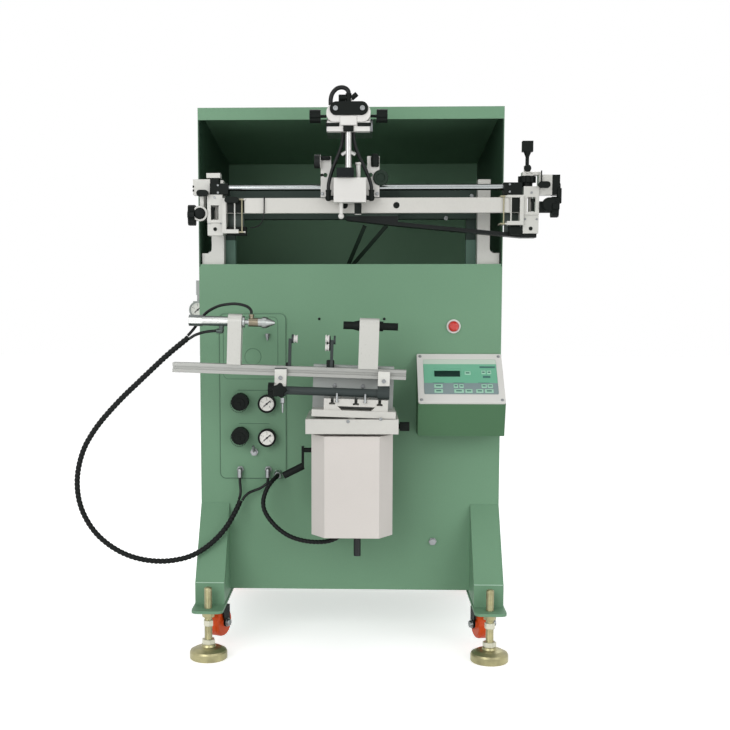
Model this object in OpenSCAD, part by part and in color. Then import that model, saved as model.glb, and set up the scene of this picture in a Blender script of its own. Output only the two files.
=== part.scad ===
// Curved surface screen printing machine.
// A sheet steel cabinet with an open hood carries a sliding screen carriage, a squeegee head
// that hangs from the hood, and an object table that climbs on a vertical way.
// Front is -Y, the floor is Z = 0. Sizes are in millimetres.

/* [Cabinet] */
// Outside width of the cabinet
cab_w = 660; // [630:10:700]
// Depth of the cabinet from front panel to rear panel
cab_depth = 560; // [480:10:640]
// Height of the cabinet's body, from its floor plate to the deck
body_h = 722; // [690:2:740]
// Height of the hood, from the deck to its top front edge
hood_open = 335; // [325:1:350]
// Fall of the roof from front to rear
roof_fall = 55; // [40:1:70]
// Height of the folded lip along the front of the roof
lip_h = 26; // [18:1:34]
// Thickness of the cabinet's sheet steel
sheet = 3; // [2:0.5:4]
// Height of the front panel's lower edge above the skid plates
panel_gap = 8; // [5:1:16]

/* [Legs and feet] */
// Width of each leg housing
leg_w = 63; // [58:1:70]
// Height where the leg starts to lean forward
leg_slope_top = 311; // [290:1:330]
// Height where the lean ends
leg_slope_bottom = 156; // [140:1:170]
// How far the leg reaches in front of the front panel
leg_reach = 110; // [95:1:125]
// Height of the top of the skid plate
skid_z = 109; // [106:0.5:112]
// Thickness of the skid plate
skid_t = 6; // [5:0.5:8]
// How far the skid plate reaches in front of the leg
skid_nose = 55; // [48:1:62]
// Diameter of a levelling pad
pad_d = 80; // [70:1:86]
// Diameter of a levelling stud
stud_d = 16; // [12:1:18]
// Height of the stud's top above the floor
stud_top = 154; // [140:1:170]
// Distance from the leg's front face to the stud
stud_forward = 27; // [24:1:32]
// Diameter of a caster wheel
wheel_d = 64; // [56:1:66]
// Width of a caster wheel
wheel_w = 38; // [30:1:40]
// Trail of the caster, kingpin to axle
caster_trail = 22; // [20:1:26]

/* [Control box] */
// Space between the table's base plate and the control box
ctrl_gap = 45; // [38:1:60]
// Distance from the deck down to the top of the sloped face
ctrl_drop = 198; // [185:1:215]
// Fall of the sloped face
ctrl_fall = 98; // [85:1:110]
// Height of the control box
ctrl_h = 168; // [150:1:180]
// How far the lower edge of the face stands in front of the panel
ctrl_reach = 100; // [90:1:115]
// Thickness of the white bezel
bezel_t = 4; // [3:0.5:6]

/* [Screen carriage] */
// Offset of the carriage from the cabinet's middle as shown
car_x = 47; // [30:1:60]
// Half distance between the two clamp frames
end_x = 328; // [320:1:340]
// Distance from the chrome rod down to the beam's middle
beam_drop = 38; // [36:1:42]
// Height of the beam's section
beam_h = 31; // [26:1:34]
// Thickness of the beam's section
beam_t = 16; // [12:1:18]
// Height of the chrome rod above the deck
rod_rise = 156; // [150:1:162]
// Diameter of the chrome rod
rod_d = 13; // [10:1:15]
// Distance of the chrome rod in front of the front panel
rod_y = 90; // [86:1:92]
// How much lower the left clamp frame is set than the right one
left_drop = 15; // [0:1:18]

/* [Squeegee head] */
// Distance from the head's middle to the cabinet's middle
head_x = -2; // [-8:1:8]
// Space between the hood's lip and the support rods under it
head_gap = 1; // [0.5:0.5:4]
// Distance between the two support rods
head_rod_gap = 53; // [48:1:56]
// Diameter of a support rod
head_rod_d = 16; // [12:1:18]
// Diameter of the squeegee lift rod
lift_rod_d = 13; // [11:0.5:14]
// Distance from the beam's front face to the lift rod
lift_gap = 50; // [48:1:60]
// Width of the white squeegee block
block_w = 66; // [58:1:70]
// Height of the white squeegee block
block_h = 49; // [44:1:52]
// Distance from the support rods down to the squeegee block
block_drop = 130; // [124:1:134]

/* [Object table] */
// Offset of the table from the cabinet's middle
table_x = 7; // [0:1:14]
// Width of the table's base plate
base_w = 188; // [176:1:200]
// Front edge of the base plate in front of the front panel
base_front = 215; // [208:1:225]
// Distance from the deck down to the base plate's underside
table_drop = 347; // [335:1:360]
// Thickness of the base plate
base_t = 30; // [24:1:31]
// Width of the motor cover
cover_w = 168; // [150:1:176]
// Height of the motor cover
cover_h = 210; // [180:1:230]
// Tilt of the tilting plate and the rail, in degrees
table_tilt = 1.8; // [0:0.1:1.9]
// Length of the rail
rail_len = 478; // [440:1:500]
// Height of the rail's section
rail_h = 20; // [16:1:22]
// Depth of the rail's section
rail_t = 28; // [24:1:30]
// Height of the rail's middle above the base plate
rail_rise = 91; // [88:1:94]
// Height of the spindle line above the rail's middle
spindle_rise = 97; // [90:1:104]
// Diameter of the pneumatic spindle cylinder
cylinder_d = 20; // [16:1:22]
// Diameter of the tail spindle
tail_d = 15; // [12:1:17]

/* [Hidden] */

$fn = 48;

seat = 0.3;
run_fit = 0.05;

green = "#6f9c82";
cream = "#dcdad2";
white = "#e9e9e4";
black = "#202422";
slate = "#3a4a4a";
steel = "#b9bcbc";
zinc = "#b3a878";
orange = "#e0561c";
brass = "#b48a3c";
grey = "#a9aeac";

half_w = cab_w / 2;
panel_bottom = skid_z + panel_gap;
deck_z = panel_bottom + body_h;
hood_h = deck_z + hood_open;
inner_w = half_w - sheet;
lip_z = hood_h - lip_h;
roof_z = hood_h - sheet;
leg_inner = half_w - leg_w;
leg_x = half_w - leg_w / 2;
skid_bottom = skid_z - skid_t;
stud_front_y = -(leg_reach + stud_forward);
stud_rear_y = cab_depth - 45;
caster_inset = 50;
caster_front_y = caster_inset - leg_reach;
caster_rear_y = cab_depth - 130;
caster_plate_t = 4;
race_z = skid_bottom - caster_plate_t;
fork_top = race_z - 7;
fork_web = 4;
wheel_gap = 3;
axle_z = fork_top - fork_web - wheel_gap - wheel_d / 2;
axle_d = 8;
pin_r = 5;

rod_z = deck_z + rod_rise;
beam_z = rod_z - beam_drop;
beam_back = rod_y;
beam_front = beam_back + beam_t;
beam_low = beam_z - beam_h / 2;
beam_high = beam_z + beam_h / 2;
frame_depth = 42;

head_z = lip_z - head_gap - head_rod_d / 2;
lift_rod_y = beam_front + lift_gap;
head_front_y = -(lift_rod_y + 12);
head_block_t = 28;
head_rear_y = head_front_y + 80;
head_block_w = 89;
head_block_h = 36;

cover_front = 205;
cover_side = 165;
cover_back = 62;
way_w = 110;
way_t = 14;
way_step = 12;
base_z = deck_z - table_drop;
way_bottom = base_z - 194;
way_top = base_z + 121;

base_top = base_z + base_t;
rail_z = base_top + rail_rise;
rail_back = 155;
rail_y = -(rail_back + rail_t / 2);
rail_right = table_x + 107;
rail_left = rail_right - rail_len;
spindle_y = rail_y - 5;
arm_left = table_x - 259;
arm_left_w = 28;
arm_right = table_x + 9;
arm_right_w = 40;

filter_reach = 44;
right_reach = end_x + 62;

// Middle of the whole machine's plan, which becomes the origin
mid_x = (car_x + right_reach - (half_w + filter_reach)) / 2;
mid_y = (cab_depth - base_front) / 2;

module place() translate([-mid_x, -mid_y, 0]) children();

module block(x0, x1, y0, y1, z0, z1)
  translate([x0, y0, z0]) cube([x1 - x0, y1 - y0, z1 - z0]);

module x_cyl(r, x0, x1, y, z, sides = 48)
  translate([x0, y, z]) rotate([0, 90, 0]) cylinder(r = r, h = x1 - x0, $fn = sides);

module y_cyl(r, y0, y1, x, z, sides = 48)
  translate([x, y1, z]) rotate([90, 0, 0]) cylinder(r = r, h = y1 - y0, $fn = sides);

module z_cyl(r, z0, z1, x, y, sides = 48)
  translate([x, y, z0]) cylinder(r = r, h = z1 - z0, $fn = sides);

// A flat outline drawn in Y and Z, given a thickness along X
module side_slab(x0, x1)
  translate([x0, 0, 0]) rotate([90, 0, 90]) linear_extrude(x1 - x0) children();

// A flat outline drawn in X and Z, given a thickness along Y
module front_slab(y0, y1)
  translate([0, y1, 0]) rotate([90, 0, 0]) linear_extrude(y1 - y0) children();

module rounded(w, h, r) {
  square([w - 2 * r, h], center = true);
  square([w, h - 2 * r], center = true);
  for (i = [-1, 1], j = [-1, 1]) translate([i * (w / 2 - r), j * (h / 2 - r)]) circle(r);
}

// Sweep of a regular polygon along a list of points, for cords and hoses
function unit(v) = v / norm(v);
function tangent(p, i) = unit(p[min(i + 1, len(p) - 1)] - p[max(i - 1, 0)]);
module cord(p, d, ref = [0, 1, 0], sides = 8) {
  n = len(p);
  rings = [for (i = [0:n - 1])
    let (t = tangent(p, i), a = unit(cross(ref, t)), b = cross(t, a))
    [for (k = [0:sides - 1]) p[i] + d / 2 * (cos(k * 360 / sides) * a + sin(k * 360 / sides) * b)]];
  points = [for (r = rings) each r];
  walls = [for (i = [0:n - 2], k = [0:sides - 1])
    let (m = (k + 1) % sides)
    each [[i * sides + k, (i + 1) * sides + m, i * sides + m],
          [i * sides + k, (i + 1) * sides + k, (i + 1) * sides + m]]];
  first = [[for (k = [0:sides - 1]) k]];
  last = [[for (k = [sides - 1:-1:0]) (n - 1) * sides + k]];
  polyhedron(points = points, faces = concat(walls, first, last));
}

// Cabinet

module side_outline() polygon([
  [0, lip_z], [sheet, lip_z], [sheet, roof_z], [cab_depth, roof_z - roof_fall],
  [cab_depth, skid_z], [-leg_reach, skid_z], [-leg_reach, leg_slope_bottom], [0, leg_slope_top]]);

module side_panels() color(green) for (s = [0, 1]) mirror([s, 0, 0]) {
  side_slab(inner_w, half_w) side_outline();
}

module front_panel() color(green) front_slab(0, sheet) polygon([
  [-inner_w, deck_z], [inner_w, deck_z], [inner_w, leg_slope_top], [leg_inner, leg_slope_top],
  [leg_inner, panel_bottom], [-leg_inner, panel_bottom], [-leg_inner, leg_slope_top],
  [-inner_w, leg_slope_top]]);

vent_w = 120;
vent_h = 6;
vent_pitch = 18;
vent_rows = 6;
module rear_panel() color(green) difference() {
  block(-inner_w, inner_w, cab_depth - sheet, cab_depth, skid_z, roof_z - roof_fall);
  for (s = [-1, 1], i = [0:vent_rows - 1])
    translate([s * inner_w / 2, 0, deck_z - 120 - i * vent_pitch])
      front_slab(cab_depth - 2 * sheet, cab_depth + sheet) rounded(vent_w, vent_h, vent_h / 2 - 0.1);
}

module cabinet_floor() color(green)
  block(-leg_inner, leg_inner, sheet, cab_depth - sheet, panel_bottom, panel_bottom + sheet);

module deck_plate() color(green)
  block(-inner_w, inner_w, sheet, cab_depth - sheet, deck_z - sheet, deck_z);

module hood_roof() color(green) side_slab(-half_w, half_w) polygon([
  [0, lip_z], [0, hood_h], [cab_depth, hood_h - roof_fall], [cab_depth, roof_z - roof_fall],
  [sheet, roof_z], [sheet, lip_z]]);

// Legs, feet and casters

skid_side = 2;
skid_corner = 14;
module skid_plate() {
  w = leg_w + 2 * skid_side;
  y0 = -(leg_reach + skid_nose);
  translate([0, 0, skid_bottom]) linear_extrude(skid_t) difference() {
    union() {
      translate([leg_x - w / 2, y0 + skid_corner]) square([w, cab_depth - y0 - skid_corner]);
      translate([leg_x, y0 + skid_corner]) rounded(w, 2 * skid_corner, skid_corner - 0.1);
    }
    for (y = [stud_front_y, stud_rear_y]) translate([leg_x, y]) circle(stud_d / 2 + seat);
  }
}

inner_wall_h = 180;
module leg_inner_wall() side_slab(leg_inner, leg_inner + sheet) polygon([
  [0, leg_slope_top], [-leg_reach, leg_slope_bottom], [-leg_reach, skid_z],
  [cab_depth - sheet, skid_z], [cab_depth - sheet, inner_wall_h], [sheet, inner_wall_h],
  [sheet, leg_slope_top]]);

module leg_face() side_slab(leg_inner + sheet, inner_w) polygon([
  [0, leg_slope_top], [-leg_reach, leg_slope_bottom], [-leg_reach, skid_z],
  [sheet - leg_reach, skid_z], [sheet - leg_reach, leg_slope_bottom], [sheet, leg_slope_top]]);

caster_plate_w = 58;
race_r = 18;
pin_head_r = 8;
pin_head_t = 3;
module caster_mount(y) {
  block(leg_x - caster_plate_w / 2, leg_x + caster_plate_w / 2,
    y - caster_plate_w / 2, y + caster_plate_w / 2, race_z, skid_bottom);
  z_cyl(race_r, fork_top + seat, race_z, leg_x, y);
  z_cyl(pin_r, fork_top - fork_web - seat - pin_head_t, race_z, leg_x, y);
  z_cyl(pin_head_r, fork_top - fork_web - seat - pin_head_t, fork_top - fork_web - seat, leg_x, y);
}

module leg_housings() color(green) for (s = [0, 1]) mirror([s, 0, 0]) {
  skid_plate();
  leg_inner_wall();
  leg_face();
  caster_mount(caster_front_y);
  caster_mount(caster_rear_y);
}

pad_rim = 15;
pad_top = 31;
hex_r = 12;
nut_h = 13;
nut_z = skid_bottom - nut_h;
module foot() {
  r = pad_d / 2;
  rotate_extrude() polygon([
    [0, 0], [r - 2, 0], [r, 2], [r, pad_rim], [r - 2, pad_rim + 4], [r * 0.7, pad_rim + 9],
    [r * 0.4, pad_top - 5], [r * 0.35, pad_top], [0, pad_top]]);
  z_cyl(hex_r, pad_top, pad_top + 10, 0, 0, 6);
  z_cyl(stud_d / 2, pad_top, stud_top - 2, 0, 0);
  translate([0, 0, stud_top - 2]) cylinder(r1 = stud_d / 2, r2 = stud_d / 2 - 2, h = 2);
  z_cyl(hex_r + 1, nut_z, nut_z + nut_h, 0, 0, 6);
}

module levelling_feet() color(zinc)
  for (x = [-leg_x, leg_x], y = [stud_front_y, stud_rear_y]) translate([x, y, 0]) foot();

// Where each caster stands, and how far its fork is turned at rest
casters = [
  [-leg_x, caster_front_y, -24], [leg_x, caster_front_y, 14],
  [-leg_x, caster_rear_y, 10], [leg_x, caster_rear_y, -18]];

module at_caster(i) translate([casters[i][0], casters[i][1], 0]) rotate([0, 0, casters[i][2]]) children();

cheek_t = 3;
cheek_gap = 2;
cheek_x = wheel_w / 2 + cheek_gap;
cheek_r = 10;
module fork() {
  w = 2 * (cheek_x + cheek_t);
  difference() {
    union() {
      z_cyl(race_r + 2, fork_top - fork_web, fork_top, 0, 0);
      block(-w / 2, w / 2, 0, caster_trail + cheek_r, fork_top - fork_web, fork_top);
    }
    z_cyl(pin_r + run_fit, fork_top - fork_web - 1, fork_top + 1, 0, 0);
  }
  for (x = [-cheek_x - cheek_t, cheek_x]) side_slab(x, x + cheek_t) {
    translate([caster_trail, axle_z]) circle(cheek_r);
    polygon([[caster_trail - cheek_r, axle_z], [caster_trail - 18, fork_top - fork_web],
      [caster_trail + cheek_r, fork_top - fork_web], [caster_trail + cheek_r, axle_z]]);
  }
  x_cyl(axle_d / 2, -w / 2, w / 2, caster_trail, axle_z);
  x_cyl(6.5, -w / 2 - 5, -w / 2, caster_trail, axle_z, 6);
  x_cyl(6.5, w / 2, w / 2 + 5, caster_trail, axle_z);
}

module wheel() translate([-wheel_w / 2, caster_trail, axle_z]) rotate([0, 90, 0]) rotate_extrude()
  polygon([
    [axle_d / 2 + run_fit, 0], [10, 0], [11, 2], [wheel_d / 2 - 5, 2], [wheel_d / 2 - 1.5, 4],
    [wheel_d / 2, 8], [wheel_d / 2, wheel_w - 8], [wheel_d / 2 - 1.5, wheel_w - 4],
    [wheel_d / 2 - 5, wheel_w - 2], [11, wheel_w - 2], [10, wheel_w], [axle_d / 2 + run_fit, wheel_w]]);

module caster_fork(i) color(black) at_caster(i) fork();
module caster_wheel(i) color(orange) at_caster(i) wheel();

// Control box, lamp and pneumatic panel

ctrl_lip = 20;
ctrl_w = half_w - table_x - base_w / 2 - ctrl_gap;
ctrl_x = half_w - ctrl_w / 2;
ctrl_top = deck_z - ctrl_drop;
ctrl_front = ctrl_top - ctrl_fall;
ctrl_bottom = ctrl_top - ctrl_h;
ctrl_angle = atan2(ctrl_fall, ctrl_reach);
ctrl_len = norm([ctrl_fall, ctrl_reach]);
module control_box() color(green) side_slab(ctrl_x - ctrl_w / 2, ctrl_x + ctrl_w / 2) polygon([
  [0, ctrl_top], [-ctrl_reach, ctrl_front], [ctrl_lip - ctrl_reach, ctrl_bottom], [0, ctrl_bottom]]);

module on_face() translate([ctrl_x, -ctrl_reach, ctrl_front]) rotate([ctrl_angle, 0, 0]) children();

bezel_border = 13;
module control_bezel() color(white) on_face() difference() {
  translate([0, ctrl_len / 2, 0]) linear_extrude(bezel_t) rounded(ctrl_w, ctrl_len, 4);
  translate([0, ctrl_len / 2 + 4, bezel_t - 1])
    linear_extrude(2) rounded(ctrl_w - 2 * bezel_border, ctrl_len - 40, 3);
}

module control_overlay() color("#6fae8d") on_face() difference() {
  translate([0, ctrl_len / 2 + 4, bezel_t - 1])
    linear_extrude(1.2) rounded(ctrl_w - 2 * bezel_border - 1, ctrl_len - 41, 3);
  translate([-58, ctrl_len - 64, bezel_t - 0.4]) cube([60, 22, 2]);
}

lamp_x = ctrl_x - 12;
lamp_z = deck_z - 135;
module power_lamp() color("#c8322c") {
  y_cyl(15, -4, 0, lamp_x, lamp_z);
  y_cyl(11, -9, -4, lamp_x, lamp_z);
  translate([lamp_x, -9, lamp_z]) rotate([90, 0, 0]) cylinder(r1 = 11, r2 = 7, h = 3);
}

pneu_w = 148;
pneu_h = 368;
pneu_x = 117 - half_w;
pneu_z = deck_z - 289;
pneu_t = 2;
module pneumatic_panel() color(green)
  translate([pneu_x, 0, pneu_z]) front_slab(-pneu_t, 0) rounded(pneu_w, pneu_h, 15);

row_z = [pneu_z - 11, pneu_z - 86];
knob_x = pneu_x - 27;
gauge_x = pneu_x + 32;
knob_r = 19;
module regulator_knob(z) {
  y_cyl(13, -pneu_t - 8, -pneu_t, knob_x, z);
  difference() {
    y_cyl(knob_r, -pneu_t - 32, -pneu_t - 8, knob_x, z);
    for (a = [0:20:340]) translate([knob_x, 0, z]) rotate([0, a, 0])
      y_cyl(1.6, -pneu_t - 33, -pneu_t - 12, knob_r + 0.6, 0, 16);
  }
}
module regulator_knobs() color(black) for (z = row_z) regulator_knob(z);

gauge_r = 20;
module gauge(x, y, z) {
  y_cyl(gauge_r - 1.5, y - 20, y, x, z);
  difference() {
    y_cyl(gauge_r, y - 25, y - 16, x, z);
    y_cyl(gauge_r - 2.5, y - 26, y - 23.5, x, z);
  }
}
module pressure_gauges() color(black) for (z = row_z) gauge(gauge_x, -pneu_t, z - 4);

port_x = [pneu_x - 29, pneu_x + 33];
port_z = pneu_z - 163;
elbow_y = -16;
elbow_drop = 16;
gland_x = pneu_x + 55;
gland_z = pneu_z - 173;
socket_x = ctrl_x - 53;
socket_z = panel_bottom + 110;
toggle_x = pneu_x + 2;
toggle_z = pneu_z - 124;
cone_x = pneu_x + 33;
cone_z = pneu_z + 132;
module panel_fittings() color(steel) {
  for (x = port_x) {
    y_cyl(8, -pneu_t - 5, -pneu_t, x, port_z, 6);
    y_cyl(5.5, elbow_y, -pneu_t - 5, x, port_z);
    translate([x, elbow_y, port_z]) sphere(r = 5.5);
    z_cyl(5.5, port_z - elbow_drop, port_z, x, elbow_y);
  }
  y_cyl(9, -pneu_t - 4, -pneu_t, toggle_x, toggle_z, 6);
  y_cyl(5, -pneu_t - 14, -pneu_t - 4, toggle_x, toggle_z);
  translate([toggle_x, -pneu_t - 11, toggle_z]) rotate([35, 0, 0]) cylinder(r1 = 2, r2 = 3.5, h = 18);
  y_cyl(4, -pneu_t - 10, -pneu_t, cone_x, cone_z);
  translate([cone_x, -pneu_t - 8, cone_z - 9]) cylinder(r1 = 1.5, r2 = 6, h = 15);
  y_cyl(10, -pneu_t - 6, -pneu_t, gland_x, gland_z, 6);
  translate([gland_x, -pneu_t - 6, gland_z]) rotate([90, 0, 0]) cylinder(r1 = 9, r2 = 6.5, h = 14);
  y_cyl(9, -3, 0, socket_x, socket_z, 6);
  y_cyl(6.5, -8, -3, socket_x, socket_z);
}

filter_y = 170;
filter_z = deck_z - 101;
module air_filter_regulator() color(grey) {
  x = -half_w;
  block(x - 6, x, filter_y - 14, filter_y + 30, filter_z - 30, filter_z + 70);
  block(x - 38, x - 6, filter_y - 8, filter_y + 26, filter_z - 34, filter_z + 20);
  z_cyl(11, filter_z + 20, filter_z + 34, x - 20, filter_y + 9);
  z_cyl(13, filter_z + 34, filter_z + 68, x - 20, filter_y + 9);
  gauge(x - filter_reach + gauge_r, filter_y - 8, filter_z);
}

// Carriage support inside the hood

upright_w = 27;
upright_x = half_w - 40;
upright_y = 12;
upright_t = 30;
upright_foot = 48;
upright_foot_h = 24;
upright_top = rod_z + 26;
upright_fillet = 10;
module upright_outline() {
  x0 = upright_x - upright_w / 2;
  difference() {
    union() {
      translate([x0, deck_z]) square([upright_w, upright_top - deck_z]);
      translate([x0, deck_z]) square([upright_foot, upright_foot_h]);
      translate([x0 + upright_w, deck_z + upright_foot_h]) square(upright_fillet);
    }
    translate([x0 + upright_w + upright_fillet, deck_z + upright_foot_h + upright_fillet])
      circle(upright_fillet);
  }
}
module uprights() color(white) for (s = [0, 1]) mirror([s, 0, 0])
  front_slab(upright_y, upright_y + upright_t) upright_outline();

guide_y0 = upright_y + upright_t;
guide_t = 40;
guide_z0 = rod_z - 56;
guide_z1 = rod_z + 11;
groove_h = 18;
groove_t = 10;
post_w = 21;
module guide_profile() difference() {
  translate([guide_y0, guide_z0]) square([guide_t, guide_z1 - guide_z0]);
  translate([guide_y0 - 1, (guide_z0 + guide_z1 - groove_h) / 2]) square([groove_t + 1, groove_h]);
}
module guide_beam() color(slate) {
  side_slab(-upright_x - 10, upright_x + 10) guide_profile();
  for (s = [-1, 1]) block(s * (upright_x - 24) - post_w / 2, s * (upright_x - 24) + post_w / 2,
    guide_y0 + 8, guide_y0 + guide_t - 8, deck_z, guide_z0);
}

// Squeegee head

head_low = 3;
plate_rise = 5.5;
cap_t = 3;
module head_outline() rounded(head_block_w, head_block_h, 17);
hanger_y0 = 20;
hanger_y1 = 130;
hanger_w = 100;
roof_slope = roof_fall / (cab_depth - sheet);
function under_roof(y) = roof_z - roof_slope * (y - sheet);
module head_bracket() color(steel) {
  for (s = [-1, 1])
    y_cyl(head_rod_d / 2, head_front_y, hanger_y0, head_x + s * head_rod_gap / 2, head_z);
  side_slab(head_x - hanger_w / 2, head_x + hanger_w / 2) polygon([
    [hanger_y0, head_z - 14], [hanger_y1, head_z - 14],
    [hanger_y1, under_roof(hanger_y1)], [hanger_y0, under_roof(hanger_y0)]]);
}

bush_w = 33;
bush_z = head_z - 39;
stub_y = 2 - lift_rod_y;
stub_r = 6;
module head_block_at(y)
  translate([head_x, 0, head_z - head_low]) front_slab(y, y + head_block_t) head_outline();
module head_blocks() color(white) difference() {
  union() {
    head_block_at(head_front_y);
    head_block_at(head_rear_y);
    block(head_x - bush_w / 2, head_x + bush_w / 2, head_front_y + 2, head_front_y + head_block_t,
      bush_z + 13, head_z);
    block(head_x - 43, head_x + 43, head_front_y + 4, head_front_y + head_block_t - 2, bush_z, bush_z + 20);
  }
  for (s = [-1, 1])
    y_cyl(head_rod_d / 2 + run_fit, head_front_y - 1, 0, head_x + s * head_rod_gap / 2, head_z);
  z_cyl(lift_rod_d / 2 + run_fit, bush_z - 1, head_z + 10, head_x, -lift_rod_y);
}

module head_knobs() color(black) {
  translate([head_x + 1, 0, head_z + plate_rise]) front_slab(head_front_y - cap_t, head_front_y)
    rounded(77, 27, 13.4);
  for (s = [-1, 1]) {
    a = head_x + s * head_block_w / 2;
    b = head_x + s * (head_block_w / 2 + 12);
    c = head_x + s * (head_block_w / 2 + 34);
    x_cyl(3, min(a, b), max(a, b), stub_y, head_z - 8);
    translate([min(b, c), stub_y, head_z - 8]) rotate([0, 90, 0]) linear_extrude(22) difference() {
      circle(13.5);
      for (k = [0:5]) rotate(k * 60) translate([16, 0]) circle(4.5);
    }
  }
  z0 = head_z - head_low + head_block_h / 2;
  z_cyl(stub_r, z0, z0 + 22, head_x, stub_y);
  x_cyl(7, head_x - 20, head_x - stub_r + 1, stub_y, z0 + 13);
  translate([head_x + stub_r, stub_y, z0 + 12]) rotate([0, 50, 0]) cylinder(r = 5, h = 14);
  z_cyl(4.5, z0 - 0.4, z0 + 2, head_x - 36, stub_y);
}

block_top = head_z - block_drop;
rod_bottom = block_top + 19;
rod_top = head_z - 13;
module squeegee_rod() color(steel) {
  z_cyl(lift_rod_d / 2, rod_bottom, rod_top, head_x, -lift_rod_y);
  block(head_x - 24, head_x + 11, -lift_rod_y - 7, -lift_rod_y + 26, block_top, rod_bottom);
  for (s = [-1, 1]) translate([head_x, -lift_rod_y, rod_bottom + 34]) rotate([0, s * 120, 0])
    cylinder(r = 4, h = 16);
}

block_y0 = 2 - lift_rod_y;
block_y1 = 39 - lift_rod_y;
ear_t = 4;
ear_top = block_top + 47;
ear_w = block_w + 55;
port_r = 6;
port_reach = block_w / 2 + 11;
port_low = block_top - 39;
module squeegee_block() color(white) {
  x = head_x + 3;
  y = (block_y0 + block_y1) / 2;
  block(x - block_w / 2, x + block_w / 2, block_y0, block_y1, block_top - block_h, block_top);
  front_slab(block_y1, block_y1 + ear_t) difference() {
    translate([x - ear_w / 2, block_top - 36]) square([ear_w, ear_top - block_top + 36]);
    translate([x - 39, block_top + 4]) square([74, ear_top]);
    translate([x - 51, block_top + 9]) circle(4.5);
    translate([x + 42, block_top + 9]) circle(4.5);
  }
  z_cyl(4.5, block_top, block_top + 28, x + 17, y);
  z_cyl(6.5, block_top + 28, block_top + 32, x + 17, y);
  z_cyl(4, block_top - block_h - 26, block_top - block_h, x - 18, y);
  translate([x - 18, y, block_top - block_h - 27]) sphere(r = 6);
  block(x + 10, x + 23, y - 6, y + 6, block_top - block_h - 24, block_top - block_h);
  for (s = [-1, 1]) {
    a = x + s * block_w / 2;
    b = x + s * port_reach;
    x_cyl(4, min(a, b), max(a, b), y, port_low);
    translate([b, y, port_low]) sphere(r = port_r);
    z_cyl(5, port_low, port_low + 14, b, y);
  }
  x_cyl(14, x - ear_w / 2 - 13, x - ear_w / 2, block_y1 - 5, block_top + 36);
}

// Screen carriage

left_x = car_x - end_x;
right_x = car_x + end_x;
frame_w = 32;
window_w = 17;
window_h = 30;
window_low = rod_z - 52;
frame_low = rod_z - 96;
frame_mid = rod_z - 58;
frame_high = rod_z;
u_low = [rod_z - 95, rod_z - 79];
u_high = [rod_z - 23, rod_z - 18];
plate_low = rod_z - 17;
plate_high = [rod_z + 17, rod_z + 24];
plate_y0 = -beam_front + 6;
plate_y1 = -beam_front + 38;
plate_u = 43;
u_arm = 8;
u_thin = 5;
bar_w = 8;
u_reach = 50;
u_out = frame_w / 2 + bar_w;
frame_y0 = -beam_front + 1;
frame_y1 = frame_y0 + frame_depth;
frame_yc = (frame_y0 + frame_y1) / 2;
cap_x = right_x - 7;
clamp_top = rod_z + rod_d / 2 + 1.5;

module screen_beam() color(cream) difference() {
  block(left_x + u_out, right_x - u_out, -beam_front, -beam_back,
    beam_low, beam_high);
  for (x = [-57, 50])
    y_cyl(6.5, -beam_front - 1, -beam_front + 6, car_x + x, beam_z);
}

module chrome_rod() color(steel)
  x_cyl(rod_d / 2, left_x + 12, right_x - 30, -rod_y, rod_z);

module clamp_blocks() color(black) {
  difference() {
    union() {
      block(left_x - 10, left_x + 28, -beam_front, -beam_front + 32, frame_high - left_drop, clamp_top);
      block(right_x - 57, right_x - 19, -beam_front, -beam_front + 32, u_high[1], clamp_top);
    }
    x_cyl(rod_d / 2 + run_fit, left_x + 12, right_x - 30, -rod_y, rod_z);
  }
  block(left_x - 9.5, left_x + 8, frame_yc - 14, frame_yc + 14, clamp_top, clamp_top + 12);
  z_cyl(11.5, frame_high, frame_high + 9, cap_x, frame_yc);
  translate([cap_x, frame_yc, frame_high + 9]) linear_extrude(13) difference() {
    circle(18.5);
    for (k = [0:7]) rotate(k * 45 + 22) translate([20, 0]) circle(4);
  }
  block(right_x + plate_u, right_x + plate_u + 16, plate_y0, plate_y1 - 2, plate_low, plate_high[1]);
  x_cyl(6, right_x + plate_u + 16, right_x + plate_u + 19, frame_yc, rod_z + 2, 24);
}

// One clamp frame, drawn for the right end with X pointing outward from the frame's middle
module clamp_frame(side) {
  drop = side == 0 ? left_drop : 0;
  low = u_low[side];
  high = u_high[side];
  difference() {
    block(-frame_w / 2, frame_w / 2, frame_y0, frame_y1, frame_mid - drop, frame_high - drop);
    block(-window_w / 2, window_w / 2, frame_y0 - 1, frame_y1 + 1,
      window_low - drop, window_low - drop + window_h);
  }
  z_cyl(4, window_low - drop, window_low - drop + window_h, 0, frame_yc);
  block(-frame_w / 2, frame_w / 2, frame_y0 + 4, frame_y1, side == 0 ? frame_low - 3 : frame_low,
    frame_mid - drop);
  block(-u_out, -frame_w / 2, frame_y0 - 6, frame_y1 + 4, low, high);
  difference() {
    union() {
      block(-u_reach, -u_out, frame_y0 - 6, frame_y1 + 4, high - u_thin, high);
      block(-u_reach - 14, -u_reach, frame_y0 - 6, frame_y1 - 4, high - 4, high - 1);
    }
    block(-u_reach - 20, -u_out, -beam_front - seat, -beam_back + seat,
      beam_low, beam_high + seat);
  }
  block(-u_reach, -u_out, frame_y0 - 6, frame_y1 + 4, low, low + u_arm);
  block(-u_reach - 14, -u_reach, frame_y0 - 6, frame_y1 - 4, low + 1, low + 4);
  z_cyl(1.5, low + 4, high - 4, -u_reach - 7, frame_y0 - 3.8, 24);
  z_cyl(1.5, low + u_arm, high - u_thin, -u_reach + 8, frame_y0 - 3.8, 24);
}
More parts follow.
